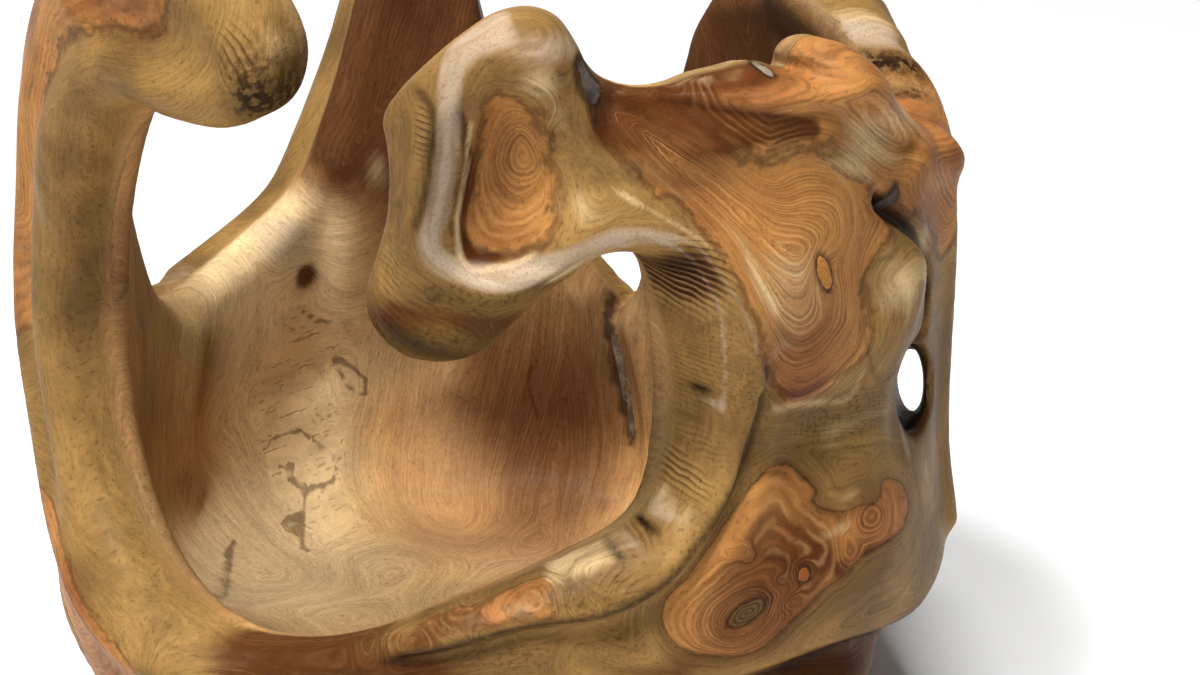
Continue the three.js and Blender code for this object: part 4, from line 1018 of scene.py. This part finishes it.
def make_object(name, points, faces, attributes, material, node):
    """A smooth object at the origin that stands for a node, from points in mm round the drum's axis."""
    mesh = bpy.data.meshes.new(name)
    mesh.from_pydata(((points + AXIS) * MM).tolist(), [], [f for group in faces for f in group.tolist()])
    mesh.polygons.foreach_set("use_smooth", [True] * len(mesh.polygons))
    for key, values in attributes.items():
        layer = mesh.attributes.new(key, "FLOAT_VECTOR", "POINT")
        layer.data.foreach_set("vector", np.column_stack(values).astype(np.float32).ravel())
    mesh.materials.append(material)
    obj = bpy.data.objects.new(name, mesh)
    bpy.context.scene.collection.objects.link(obj)
    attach(obj, "root")
    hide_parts(node)
    return obj


def make_inlay(node, material):
    """A cap in the wood: its face follows the skin a little proud, and dives under at the edge.

    A point at share r from the middle to the outline stands PROUD(1 - r^2) above the skin, less the
    dive near r = 1; the sides then go down and close below. Where the wood falls away beside it, the
    outline is drawn in.
    """
    inlay = INLAYS[node]
    middle, across, up, outwards = inlay_frame(**inlay)
    t = np.arange(INLAY_SPOKES) / INLAY_SPOKES * 2 * np.pi
    share = np.arange(1, INLAY_RINGS + 1) / INLAY_RINGS
    flat = (share[:, None, None] * leaf(t, **inlay)[None]).reshape(-1, 2)
    flat_face = middle + flat[:, :1] * across + flat[:, 1:] * up
    face = onto_skin(flat_face, outwards, INLAY_REACH, INLAY_REACH)
    rise = ((face - flat_face) @ outwards).reshape(INLAY_RINGS, INLAY_SPOKES)
    even = np.abs(np.diff(rise, axis=0, prepend=0)) < INLAY_JUMP
    backed = wood(face - INLAY_DEEP * outwards).reshape(INLAY_RINGS, INLAY_SPOKES) < 0
    kept = np.maximum((even & backed).cumprod(0).sum(0), 1) / INLAY_RINGS
    kept = np.minimum(kept, np.minimum(np.roll(kept, 1), np.roll(kept, -1)))
    flat = np.vstack([[[0, 0]], flat * np.tile(kept, INLAY_RINGS)[:, None]])
    r = np.concatenate([[0], np.repeat(share, INLAY_SPOKES)])
    face = onto_skin(middle + flat[:, :1] * across + flat[:, 1:] * up, outwards, INLAY_REACH, INLAY_REACH)
    proud = INLAY_PROUD * (1 - r ** 2) - INLAY_DIVE * smooth(0.9, 1, r)
    face = face + proud[:, None] * outwards
    below = face[-INLAY_SPOKES:] - INLAY_DEEP * outwards
    points = np.vstack([face, below, below.mean(0)])
    j = np.arange(INLAY_SPOKES)
    k = (j + 1) % INLAY_SPOKES
    ring = 1 + np.arange(INLAY_RINGS + 1)[:, None] * INLAY_SPOKES
    quads = np.stack([ring[:-1] + j, ring[:-1] + k, ring[1:] + k, ring[1:] + j], -1).reshape(-1, 4)
    last = 1 + INLAY_RINGS * INLAY_SPOKES
    fan = np.vstack([
        np.column_stack([np.zeros_like(j), 1 + k, 1 + j]),
        np.column_stack([np.full_like(j, len(points) - 1), last + j, last + k]),
    ])
    spare = np.zeros((INLAY_SPOKES + 1, 3))
    spare[:, 2] = 1
    values = np.vstack([np.column_stack([flat, r]), spare])
    return make_object(node + "_dressed", points, [quads, fan], {"leaf": values.T}, material, node)


def make_inlays(kinds, material_of):
    """The inlays of some kinds, each kind in a material of its own."""
    for name, light, shadow, pieces in kinds:
        material = material_of(name, linear(light), linear(shadow))
        for piece in pieces:
            make_inlay(piece, material)


# Materials

SMOOTH = {"interpolation_type": "SMOOTHSTEP"}  # a range with an S between its ends
COLOUR = {"data_type": "RGBA"}  # a mix of two colours


def linear(colour):
    """An sRGB hex colour as linear light, with full opacity."""
    parts = [int(colour[i:i + 2], 16) / 255 for i in (1, 3, 5)]
    return [c / 12.92 if c <= 0.04045 else ((c + 0.055) / 1.055) ** 2.4 for c in parts] + [1.0]


def scale(size):
    """The scale of a texture whose features are about a size in mm."""
    return 1000 / size


def add(tree, kind, *values, named=None, output=0, **settings):
    """Adds a node of a kind with its settings, and gives one of its outputs, the first as a rule.

    The values go in order to the inputs that the settings leave in use, the named ones by name. A
    socket is linked and anything else is set.
    """
    node = tree.nodes.new("ShaderNode" + kind)
    for key, value in settings.items():
        setattr(node, key, value)
    in_use = [socket for socket in node.inputs if socket.enabled]
    given = [(node.inputs[key], value) for key, value in (named or {}).items()]
    for socket, value in list(zip(in_use, values)) + given:
        if isinstance(value, bpy.types.NodeSocket):
            tree.links.new(value, socket)
        else:
            socket.default_value = value
    if isinstance(output, str):
        return node.outputs[output]
    return [socket for socket in node.outputs if socket.enabled][output] if node.outputs else node


def chain(tree, kind, first, *rest, **settings):
    """Nodes of one kind in a row, each fed by the one before it and by the next value."""
    for value in rest:
        first = add(tree, kind, first, value, **settings)
    return first


def weighted(tree, start, *terms):
    """A start and several values, each times its amount, added up."""
    for value, amount in terms:
        start = add(tree, "Math", value, amount, start, operation="MULTIPLY_ADD")
    return start


def around(tree, value, reach):
    """A value from 0 to 1 turned into a shift of up to half a reach either way."""
    centred = add(tree, "Math", value, 0.5, operation="SUBTRACT")
    return add(tree, "Math", centred, reach, operation="MULTIPLY")


def band(tree, value, inner, outer):
    """1 where a distance is under the inner width, fading to 0 at the outer."""
    distance = add(tree, "Math", value, operation="ABSOLUTE")
    away = add(tree, "MapRange", distance, inner, outer, **SMOOTH)
    return add(tree, "Math", 1.0, away, operation="SUBTRACT")


def layered(tree, colour, *layers):
    """A colour with others laid over it in turn, each by its share."""
    for share, tint in layers:
        colour = add(tree, "Mix", share, colour, tint, **COLOUR)
    return colour


def three_values(tree, name):
    """The three values that the mesh holds under a name."""
    vector = add(tree, "Attribute", attribute_name=name, output="Vector")
    return add(tree, "SeparateXYZ", vector).node.outputs


def start_material(name):
    """A material, its empty tree, and the place on its object in metres."""
    material = bpy.data.materials.new(name)
    material.use_nodes = True
    tree = material.node_tree
    tree.nodes.clear()
    return material, tree, add(tree, "TexCoord", output="Object")


def finish_surface(tree, colour, roughness, height, coat):
    """The surface: colour, roughness, and a bump of a height in mm, under a thin coat."""
    bump = add(tree, "Bump", named={"Height": height, "Distance": MM, "Strength": 1.0})
    surface = add(tree, "BsdfPrincipled", named={
        "Base Color": colour, "Roughness": roughness, "Normal": bump,
        "Coat Weight": coat, "Coat Roughness": COAT_ROUGHNESS, "Specular IOR Level": SPECULAR,
    })
    add(tree, "OutputMaterial", surface)


def growth_rings(tree, place, ring, spacing):
    """The rings' age in mm, each ring's luck, and four figures of a ring, for rings at a spacing in mm.

    The age wanders a little. The figures are a pale line in the middle between two rings, missing
    here and there, the late wood that darkens towards it, three thin lines to a ring, and fine waves.
    """
    slow = around(tree, add(tree, "TexNoise", place, scale(46), 1.0), 6.0)
    quick = around(tree, add(tree, "TexNoise", place, scale(12)), 2.2)
    age = chain(tree, "Math", ring, slow, quick, operation="ADD")
    count = add(tree, "Math", age, spacing, operation="DIVIDE")
    part = add(tree, "Math", count, operation="FRACT")
    luck = add(tree, "TexWhiteNoise", add(tree, "Math", count, operation="FLOOR"), noise_dimensions="1D")

    middle = band(tree, add(tree, "Math", part, 0.5, operation="SUBTRACT"), 0.0, 0.04)
    clearer = add(tree, "MapRange", luck, 0.1, 0.9, **SMOOTH)
    fades = add(tree, "MapRange", add(tree, "TexNoise", place, scale(30)), 0.2, 0.5, **SMOOTH)
    line = chain(tree, "Math", middle, clearer, fades, operation="MULTIPLY")

    rises = add(tree, "MapRange", part, -0.3, 0.46, **SMOOTH)
    falls = add(tree, "MapRange", part, 0.5, 0.56, **SMOOTH)
    stands = add(tree, "Math", 1.0, falls, operation="SUBTRACT")
    late = add(tree, "Math", rises, stands, operation="MULTIPLY")

    thirds = add(tree, "Math", add(tree, "Math", count, 3.0, operation="MULTIPLY"), operation="FRACT")
    thirds = band(tree, add(tree, "Math", thirds, 0.5, operation="SUBTRACT"), 0.02, 0.3)
    patches = add(tree, "MapRange", add(tree, "TexNoise", place, scale(19)), 0.35, 0.6, **SMOOTH)
    thin = add(tree, "Math", thirds, patches, operation="MULTIPLY")

    waves = add(tree, "Math", age, 2 * math.pi / FINE_WAVE, operation="MULTIPLY")
    return age, luck, line, late, thin, add(tree, "Math", waves, operation="SINE")


def grain_noises(tree, place, age):
    """Noises drawn out along the rings, one for each row of the table.

    Each reads the age over its size across the rings, and the place over its length along them.
    """
    x, y, z = add(tree, "SeparateXYZ", place).node.outputs
    level = add(tree, "Math", x, y, operation="SUBTRACT")
    noises = []
    for across, along, detail in GRAIN_NOISES:
        vector = add(tree, "CombineXYZ", add(tree, "Math", age, across, operation="DIVIDE"),
                     add(tree, "Math", level, scale(along), operation="MULTIPLY"),
                     add(tree, "Math", z, scale(along), operation="MULTIPLY"))
        noises.append(add(tree, "TexNoise", vector, 1.0, detail))
    return noises


def figure_colour(tree, place, look, core, indoors):
    """Heartwood and sapwood, each in two clouded tones, and the uneven distance from their border.

    Indoors, clouds of heartwood stand in the sapwood too.
    """
    wavy = around(tree, add(tree, "TexNoise", place, scale(15)), 5.0)
    uneven = around(tree, add(tree, "TexNoise", place, scale(3.2)), 1.3)
    edge = chain(tree, "Math", core, wavy, uneven, operation="ADD")
    patches = add(tree, "MapRange", add(tree, "TexNoise", place, scale(90), 3.0), 0.36, 0.66, **SMOOTH)
    patches = chain(tree, "Math", indoors, patches, 0.85, operation="MULTIPLY")
    within = add(tree, "MapRange", edge, -1.3, 1.3, **SMOOTH)
    within = add(tree, "Math", within, patches, operation="MAXIMUM")
    cloud = add(tree, "MapRange", add(tree, "TexNoise", place, scale(58)), 0.32, 0.68, **SMOOTH)
    heart = add(tree, "Mix", cloud, look.heartwood, look.heartwood_dark, **COLOUR)
    sap = add(tree, "Mix", cloud, look.sapwood, look.sapwood_dark, **COLOUR)
    return add(tree, "Mix", within, sap, heart, **COLOUR), edge


def chisel_cuts(tree, place, phase, mark):
    """The chisel's cuts and the crests between them, as narrow powers of a cosine of the phase."""
    drift = around(tree, add(tree, "TexNoise", place, scale(9), 1.0), 0.7)
    moved = add(tree, "Math", phase, drift, operation="ADD")
    turns = add(tree, "Math", moved, 2 * math.pi, operation="MULTIPLY")
    low = add(tree, "Math", add(tree, "Math", turns, operation="COSINE"), 0.5, 0.5, operation="MULTIPLY_ADD")
    high = add(tree, "Math", 1.0, low, operation="SUBTRACT")
    return (
        add(tree, "Math", mark, add(tree, "Math", low, 5.0, operation="POWER"), operation="MULTIPLY"),
        add(tree, "Math", mark, add(tree, "Math", high, 6.0, operation="POWER"), operation="MULTIPLY"),
    )


def teak_material(look):
    """Root teak, carved, sanded and oiled.

    Orange-brown heartwood in closed figures with a thin dark border stands in ochre sapwood. Rings
    show as thin pale lines that darken to one side; pores are short dark dashes along them. Ridges go
    grey, partly as worn wood and partly as painted highlight; hollow places, creases, pits and chisel cuts
    are darkened with painted shade, and the crests between chisel cuts carry a painted highlight.
    """
    material, tree, place = start_material("Teak root, carved and oiled")
    ring, core, clear = three_values(tree, "grain")
    pale, deep, olive = three_values(tree, "tint")
    sheen, dark, rough = three_values(tree, "wear_sheen_and_shade")
    phase, mark, spalt = three_values(tree, "marks")
    hollow_shade, indoors, _ = three_values(tree, "hollow_shade_and_indoors")
    age, luck, line, late, thin, fine = growth_rings(tree, place, ring, look.ring_spacing / MM)

    fibre, pore, streak, layer = grain_noises(tree, place, age)
    pores = add(tree, "MapRange", pore, 0.6, 0.72, **SMOOTH)
    colour, edge = figure_colour(tree, place, look, core, indoors)

    # the tints' edges run out in streaks along the grain, less so indoors
    outdoors = add(tree, "Math", indoors, -0.65, 1.0, operation="MULTIPLY_ADD")
    ragged = add(tree, "Math", around(tree, streak, 0.7), around(tree, layer, 0.3), operation="ADD")
    ragged = add(tree, "Math", ragged, outdoors, operation="MULTIPLY")

    def streaked(tint, depth):
        """A tint with ragged edges, up to a depth."""
        share = add(tree, "MapRange", add(tree, "Math", tint, ragged, operation="ADD"), 0.24, 0.95, **SMOOTH)
        return add(tree, "Math", share, depth, operation="MULTIPLY")

    # layers of colour: the figures' border, tints, speckled olive wood, and the rings
    mottle = add(tree, "TexNoise", place, scale(2.4), 3.0)
    weathered = add(tree, "MapRange", olive, 0.2, 0.7, **SMOOTH)
    speckle = add(tree, "MapRange", mottle, 0.5, 0.62, **SMOOTH)
    strength = add(tree, "Math", look.ring_strength, clear, operation="MULTIPLY")
    colour = layered(
        tree, colour,
        (add(tree, "Math", band(tree, edge, 0.1, 0.9), 0.5, operation="MULTIPLY"), look.border),
        # the inner wall paler: partly pale wood, partly painted light
        (add(tree, "Math", indoors, 0.2, operation="MULTIPLY"), look.pale),
        # deep red wood, partly painted shade
        (streaked(deep, 0.9), look.deep),
        (streaked(olive, 0.8), look.olive),
        (chain(tree, "Math", weathered, speckle, 0.5, operation="MULTIPLY"), look.border),
        # pale wood, and a painted highlight on the band's ledge
        (streaked(pale, 0.85), look.pale),
        (chain(tree, "Math", late, strength, 0.24, operation="MULTIPLY"), look.deep),
        (chain(tree, "Math", line, strength, 0.75, operation="MULTIPLY"), look.ring),
        (chain(tree, "Math", thin, strength, 0.22, operation="MULTIPLY"), look.ring),
    )

    # light and dark: fibres, mottle, grit, fine waves, and one tone to a ring
    grit = add(tree, "TexNoise", place, scale(1.1))
    shade = weighted(
        tree, 0.27, (fibre, 0.8), (mottle, 0.3),
        (add(tree, "Math", fine, strength, operation="MULTIPLY"), 0.17), (grit, 0.22),
        (add(tree, "Math", luck, clear, operation="MULTIPLY"), 0.12), (around(tree, layer, 0.5), 1.0),
    )
    grey = add(tree, "CombineColor", shade, shade, shade)
    colour = add(tree, "Mix", 1.0, colour, grey, blend_type="MULTIPLY", **COLOUR)

    # wear and painted light: painted shade in hollow places, grey sheen of worn wood and painted highlight,
    # chisel cuts with painted shade and painted highlights, dark marks with painted shade, raw ends, and the
    # fungus's ink-like lines
    patchy = around(tree, add(tree, "TexNoise", place, scale(9), 3.0), 0.1)
    painted_hollow_shade = add(tree, "MapRange", add(tree, "Math", hollow_shade, patchy, operation="ADD"), 0.06, 0.6, **SMOOTH)
    small = around(tree, add(tree, "TexNoise", place, scale(4)), 0.12)
    ragged_sheen = chain(tree, "Math", sheen, small, around(tree, streak, 0.25), operation="ADD")
    wear_and_sheen = add(tree, "Math", add(tree, "MapRange", ragged_sheen, 0.3, 0.66, **SMOOTH),
               add(tree, "Math", sheen, 1.0, operation="MINIMUM"), operation="MULTIPLY")
    strands = add(tree, "MapRange", streak, 0.3, 0.65, **SMOOTH)
    strands = add(tree, "Math", strands, 0.36, 0.4, operation="MULTIPLY_ADD")
    sheen_area = add(tree, "MapRange", sheen, 0.1, 0.8, **SMOOTH)
    freckles = add(tree, "MapRange", add(tree, "TexNoise", place, scale(1.3)), 0.54, 0.66, **SMOOTH)
    cut, crest = chisel_cuts(tree, place, phase, mark)
    raw = add(tree, "MapRange", add(tree, "TexNoise", place, scale(4), 3.0), 0.42, 0.6, **SMOOTH)
    broken = add(tree, "Mix", raw, look.stain_and_shade, look.sapwood_dark, **COLOUR)
    wander = around(tree, add(tree, "TexNoise", place, scale(6)), 1.6)
    ink = band(tree, add(tree, "Math", spalt, wander, operation="ADD"), 0.8, 2.1)
    colour = layered(
        tree, colour,
        (add(tree, "Math", pores, 0.35, operation="MULTIPLY"), look.border),
        # painted shade in the hollow places
        (add(tree, "Math", painted_hollow_shade, 0.62, operation="MULTIPLY"), look.deep),
        # grey sheen: partly worn wood, partly painted highlight
        (add(tree, "Math", wear_and_sheen, strands, operation="MULTIPLY"), look.sheen),
        (chain(tree, "Math", sheen_area, freckles, 0.26, operation="MULTIPLY"), look.deep),
        # painted shade in the chisel cuts
        (add(tree, "Math", add(tree, "Math", cut, 1.0, operation="MINIMUM"), 0.8, operation="MULTIPLY"),
         look.border),
        # painted highlight on the crests between the chisel cuts
        (add(tree, "Math", add(tree, "Math", crest, 1.0, operation="MINIMUM"), 0.3, operation="MULTIPLY"),
         look.ring),
        # dark marks and stains, and painted shade in creases, grooves, pits and under edges
        (add(tree, "Math", dark, 0.95, operation="MINIMUM"), look.stain_and_shade),
        (add(tree, "Math", rough, 0.9, operation="MULTIPLY"), broken),
        (add(tree, "Math", ink, 0.62, operation="MULTIPLY"), look.border),
    )

    blotches = add(tree, "TexNoise", place, scale(7))
    roughness = weighted(
        tree, 0.34, (indoors, 0.25), (wear_and_sheen, -0.1), (blotches, 0.16), (rough, 0.35), (pores, 0.12))
    splinters = add(tree, "Math", rough, add(tree, "TexNoise", place, scale(3.5), 3.0), operation="MULTIPLY")
    ripples = add(tree, "TexNoise", place, scale(14))
    height = weighted(
        tree, 0.0, (pores, -0.12), (fibre, 0.06), (line, 0.05), (cut, -1.2), (splinters, 2.4),
        (ripples, 0.35))
    finish_surface(tree, colour, roughness, height, THIN_COAT)
    return material


def putty_material(name, light, shadow):
    """Putty of glue and sanding dust: grey, dull and grainy, darker where it thins at the edge."""
    material, tree, place = start_material(name)
    share = three_values(tree, "leaf")[2]
    speck = add(tree, "TexNoise", place, scale(1.4), 3.0)
    cloud = add(tree, "MapRange", add(tree, "TexNoise", place, scale(9), 3.0), 0.3, 0.7, **SMOOTH)
    grains = add(tree, "MapRange", speck, 0.55, 0.75, **SMOOTH)
    rim = add(tree, "MapRange", share, 0.72, 0.98, **SMOOTH)
    colour = layered(
        tree, add(tree, "Mix", cloud, light, shadow, **COLOUR),
        (add(tree, "Math", grains, 0.45, operation="MULTIPLY"), linear(PUTTY_GRAIN)),
        (add(tree, "Math", rim, 0.8, operation="MULTIPLY"), linear(PUTTY_EDGE)),
    )
    finish_surface(tree, colour, weighted(tree, 0.62, (speck, 0.2)), weighted(tree, 0.0, (speck, 0.5)), 0.0)
    return material


def knot_material(name, light, shadow):
    """A cut-through side root: tight rings round its own heart, with a dark skin of bark about it."""
    material, tree, place = start_material(name)
    share = three_values(tree, "leaf")[2]
    drift = around(tree, add(tree, "TexNoise", place, scale(5)), 0.22)
    wander = add(tree, "Math", share, drift, operation="ADD")
    turns = add(tree, "Math", wander, 2 * math.pi * KNOT_RINGS, operation="MULTIPLY")
    rings = add(tree, "Math", turns, operation="SINE")
    pits = add(tree, "MapRange", add(tree, "TexNoise", place, scale(1.2), 3.0), 0.5, 0.66, **SMOOTH)
    bark = add(tree, "MapRange", wander, 0.8, 0.98, **SMOOTH)
    colour = layered(
        tree, light,
        (weighted(tree, 0.5, (rings, 0.5)), shadow),
        (add(tree, "Math", pits, 0.35, operation="MULTIPLY"), linear(KNOT_PITS)),
        (add(tree, "Math", bark, 0.7, operation="MULTIPLY"), linear(KNOT_BARK)),
    )
    roughness = weighted(tree, 0.34, (add(tree, "TexNoise", place, scale(3)), 0.12))
    finish_surface(tree, colour, roughness, weighted(tree, 0.0, (rings, 0.05)), THIN_COAT)
    return material


def floor_material(colour):
    """Matt white paper, so even that it shows only the bowl's shadow."""
    material, tree, place = start_material("White studio paper")
    cloud = add(tree, "TexNoise", place, scale(400))
    tone = layered(tree, colour, (add(tree, "Math", cloud, 0.02, operation="MULTIPLY"), linear(PAPER_SHADE)))
    tooth = add(tree, "TexNoise", place, scale(3), 1.0)
    finish_surface(tree, tone, 0.9, weighted(tree, 0.0, (tooth, 0.01)), 0.0)
    return material


# The tools in the sidebar


def colour_setting(name, what, colour):
    """A colour in the sidebar, from its hex value."""
    return bpy.props.FloatVectorProperty(
        name=name, description=what, subtype="COLOR", size=4, min=0, max=1, default=linear(colour))


class BowlLook(bpy.types.PropertyGroup):
    """How finely the bowl is made and what its wood looks like."""

    finest_cell: bpy.props.FloatProperty(
        name="Finest cell", description="Side of the smallest cell that the skin is drawn from",
        default=2.05 * MM, min=1.8 * MM, max=8 * MM, precision=5, unit="LENGTH")
    ring_spacing: bpy.props.FloatProperty(
        name="Ring spacing", description="Distance between two growth rings",
        default=8 * MM, min=1 * MM, max=20 * MM, precision=5, unit="LENGTH")
    ring_strength: bpy.props.FloatProperty(
        name="Ring strength", description="How clearly the growth rings show",
        default=0.75, min=0, max=1, subtype="FACTOR")
    heartwood: colour_setting("Heartwood", "The old wood in the figures", "#A8743E")
    heartwood_dark: colour_setting("Darker heartwood", "Its darker clouds", "#82512B")
    sapwood: colour_setting("Sapwood", "The young wood between the figures", "#8C6B3C")
    sapwood_dark: colour_setting("Darker sapwood", "Its darker clouds", "#664C2A")
    # also painted light: the paler inner wall and the highlight on the band's ledge
    pale: colour_setting("Pale wood", "The palest patches", "#CDB184")
    # also the painted highlight on the crests between chisel cuts
    ring: colour_setting("Ring", "The thin line of a growth ring", "#C89E68")
    # also painted shade in hollow places, low on the outside and under the hook and the C's top
    deep: colour_setting("Deep red", "The reddest, darkest heartwood", "#43200C")
    olive: colour_setting("Olive", "Weathered sapwood", "#584320")
    # a painted highlight, partly wood greyed by wear, laid into the colour
    sheen: colour_setting("Sheen", "Gloss on the worn ridges", "#AC9A86")
    # also painted shade in the chisel cuts
    border: colour_setting("Border", "Thin outlines, pores and chisel cuts", "#351B0A")
    # also painted shade in creases, grooves, pits and under edges
    stain_and_shade: colour_setting("Stain", "Old dirt in seams and pits", "#180D07")


class StudioLook(bpy.types.PropertyGroup):
    """The studio's paper and lights."""

    paper: colour_setting("Paper", "Colour of the floor", "#F4F4F4")
    key_power: bpy.props.FloatProperty(
        name="Key light", description="Power of the large soft light high at the left front",
        default=1250, min=0, unit="POWER")
    fill_power: bpy.props.FloatProperty(
        name="Fill light", description="Power of the soft light low at the left front",
        default=30, min=0, unit="POWER")
    top_power: bpy.props.FloatProperty(
        name="Top light", description="Power of the light that falls into the bowl from above",
        default=4, min=0, unit="POWER")
    surroundings: bpy.props.FloatProperty(
        name="Surroundings", description="Brightness of the white room",
        default=0.15, min=0, subtype="FACTOR")


class ROOTBOWL_OT_bowl(bpy.types.Operator):
    """Make the bowl itself, one solid piece of teak root"""

    bl_idname = "rootbowl.bowl"
    bl_label = "Bowl"

    def execute(self, context):
        look = context.scene.bowl_look
        points, quads = skin_mesh(wood, GRID_LOW, GRID_HIGH, look.finest_cell / MM)
        points = settle(wood, points)
        points[:, 2] = np.maximum(points[:, 2], 0)
        make_object("root_bowl_dressed", points, quads_and_triangles(quads), skin_attributes(points),
                    teak_material(look), "root_bowl")
        return {"FINISHED"}


class ROOTBOWL_OT_fillings(bpy.types.Operator):
    """Make the fillings in the wood's cracks"""

    bl_idname = "rootbowl.fillings"
    bl_label = "Crack fillings"

    def execute(self, context):
        make_inlays(PUTTIES, putty_material)
        return {"FINISHED"}


class ROOTBOWL_OT_knots(bpy.types.Operator):
    """Make the knots that are cut through in the wood's face"""

    bl_idname = "rootbowl.knots"
    bl_label = "Knots"

    def execute(self, context):
        make_inlays(KNOTS, knot_material)
        return {"FINISHED"}


class ROOTBOWL_OT_stage(bpy.types.Operator):
    """Make the studio: floor, lights and camera"""

    bl_idname = "rootbowl.stage"
    bl_label = "Studio"

    def execute(self, context):
        scene = context.scene
        look = scene.studio_look
        mesh = bpy.data.meshes.new("studio_floor")
        side = FLOOR_SIDE / 2
        corners = [(-side, -side, 0), (side, -side, 0), (side, side, 0), (-side, side, 0)]
        mesh.from_pydata(corners, [], [(0, 1, 2, 3)])
        mesh.materials.append(floor_material(look.paper))
        floor = bpy.data.objects.new("studio_floor", mesh)
        scene.collection.objects.link(floor)
        aim = np.array(CAMERA_AIM)
        for name, power, (place, size, spread) in (
            ("key_light", look.key_power, KEY_LIGHT),
            ("fill_light", look.fill_power, FILL_LIGHT),
            ("top_light", look.top_power, TOP_LIGHT),
        ):
            light = bpy.data.lights.new(name, "AREA")
            light.shape = "SQUARE"
            light.size = size
            light.energy = power
            light.spread = math.radians(spread)
            lamp = bpy.data.objects.new(name, light)
            lamp.location = place
            lamp.rotation_euler = turned_to(aim - np.array(place))
            scene.collection.objects.link(lamp)
        camera = bpy.data.cameras.new("photo_camera")
        camera.lens = CAMERA_LENS
        camera.sensor_width = CAMERA_SENSOR
        camera.clip_end = CAMERA_SIGHT
        view = bpy.data.objects.new("photo_camera", camera)
        tilt = math.radians(CAMERA_TILT)
        direction = np.array([0, math.cos(tilt), -math.sin(tilt)])
        view.location = aim - CAMERA_DISTANCE * direction
        view.rotation_euler = turned_to(direction)
        scene.collection.objects.link(view)
        scene.camera = view
        scene.view_settings.view_transform = "Standard"
        world = bpy.data.worlds.new("white_room")
        world.use_nodes = True
        world.node_tree.nodes["Background"].inputs["Color"].default_value = (1, 1, 1, 1)
        world.node_tree.nodes["Background"].inputs["Strength"].default_value = look.surroundings
        scene.world = world
        return {"FINISHED"}


def turned_to(direction):
    """The turn that makes an object's -Z face a direction, with its top up."""
    x, y, z = direction / np.linalg.norm(direction)
    return (math.acos(-z), 0, math.atan2(-x, y))


class ROOTBOWL_PT_panel(bpy.types.Panel):
    """The bowl's pieces and settings"""

    bl_idname = "ROOTBOWL_PT_panel"
    bl_label = "Root bowl"
    bl_space_type = "VIEW_3D"
    bl_region_type = "UI"
    bl_category = "Root bowl"

    def draw(self, context):
        """List every setting, then a button for each operator."""
        for group in (context.scene.bowl_look, context.scene.studio_look):
            for name in group.__annotations__:
                self.layout.prop(group, name)
        for operator in OPERATORS:
            self.layout.operator(operator.bl_idname)


OPERATORS = (ROOTBOWL_OT_bowl, ROOTBOWL_OT_fillings, ROOTBOWL_OT_knots, ROOTBOWL_OT_stage)
CLASSES = (BowlLook, StudioLook) + OPERATORS + (ROOTBOWL_PT_panel,)


def register():
    """Make the classes known, and hang the settings on the scene."""
    for kind in CLASSES:
        bpy.utils.register_class(kind)
    bpy.types.Scene.bowl_look = bpy.props.PointerProperty(type=BowlLook)
    bpy.types.Scene.studio_look = bpy.props.PointerProperty(type=StudioLook)


def unregister():
    """Undo what register does, in reverse."""
    del bpy.types.Scene.studio_look
    del bpy.types.Scene.bowl_look
    for kind in reversed(CLASSES):
        bpy.utils.unregister_class(kind)


def main():
    """Make every piece and the studio."""
    register()
    bpy.ops.rootbowl.bowl()
    bpy.ops.rootbowl.fillings()
    bpy.ops.rootbowl.knots()
    bpy.ops.rootbowl.stage()


if __name__ == "__main__":
    main()
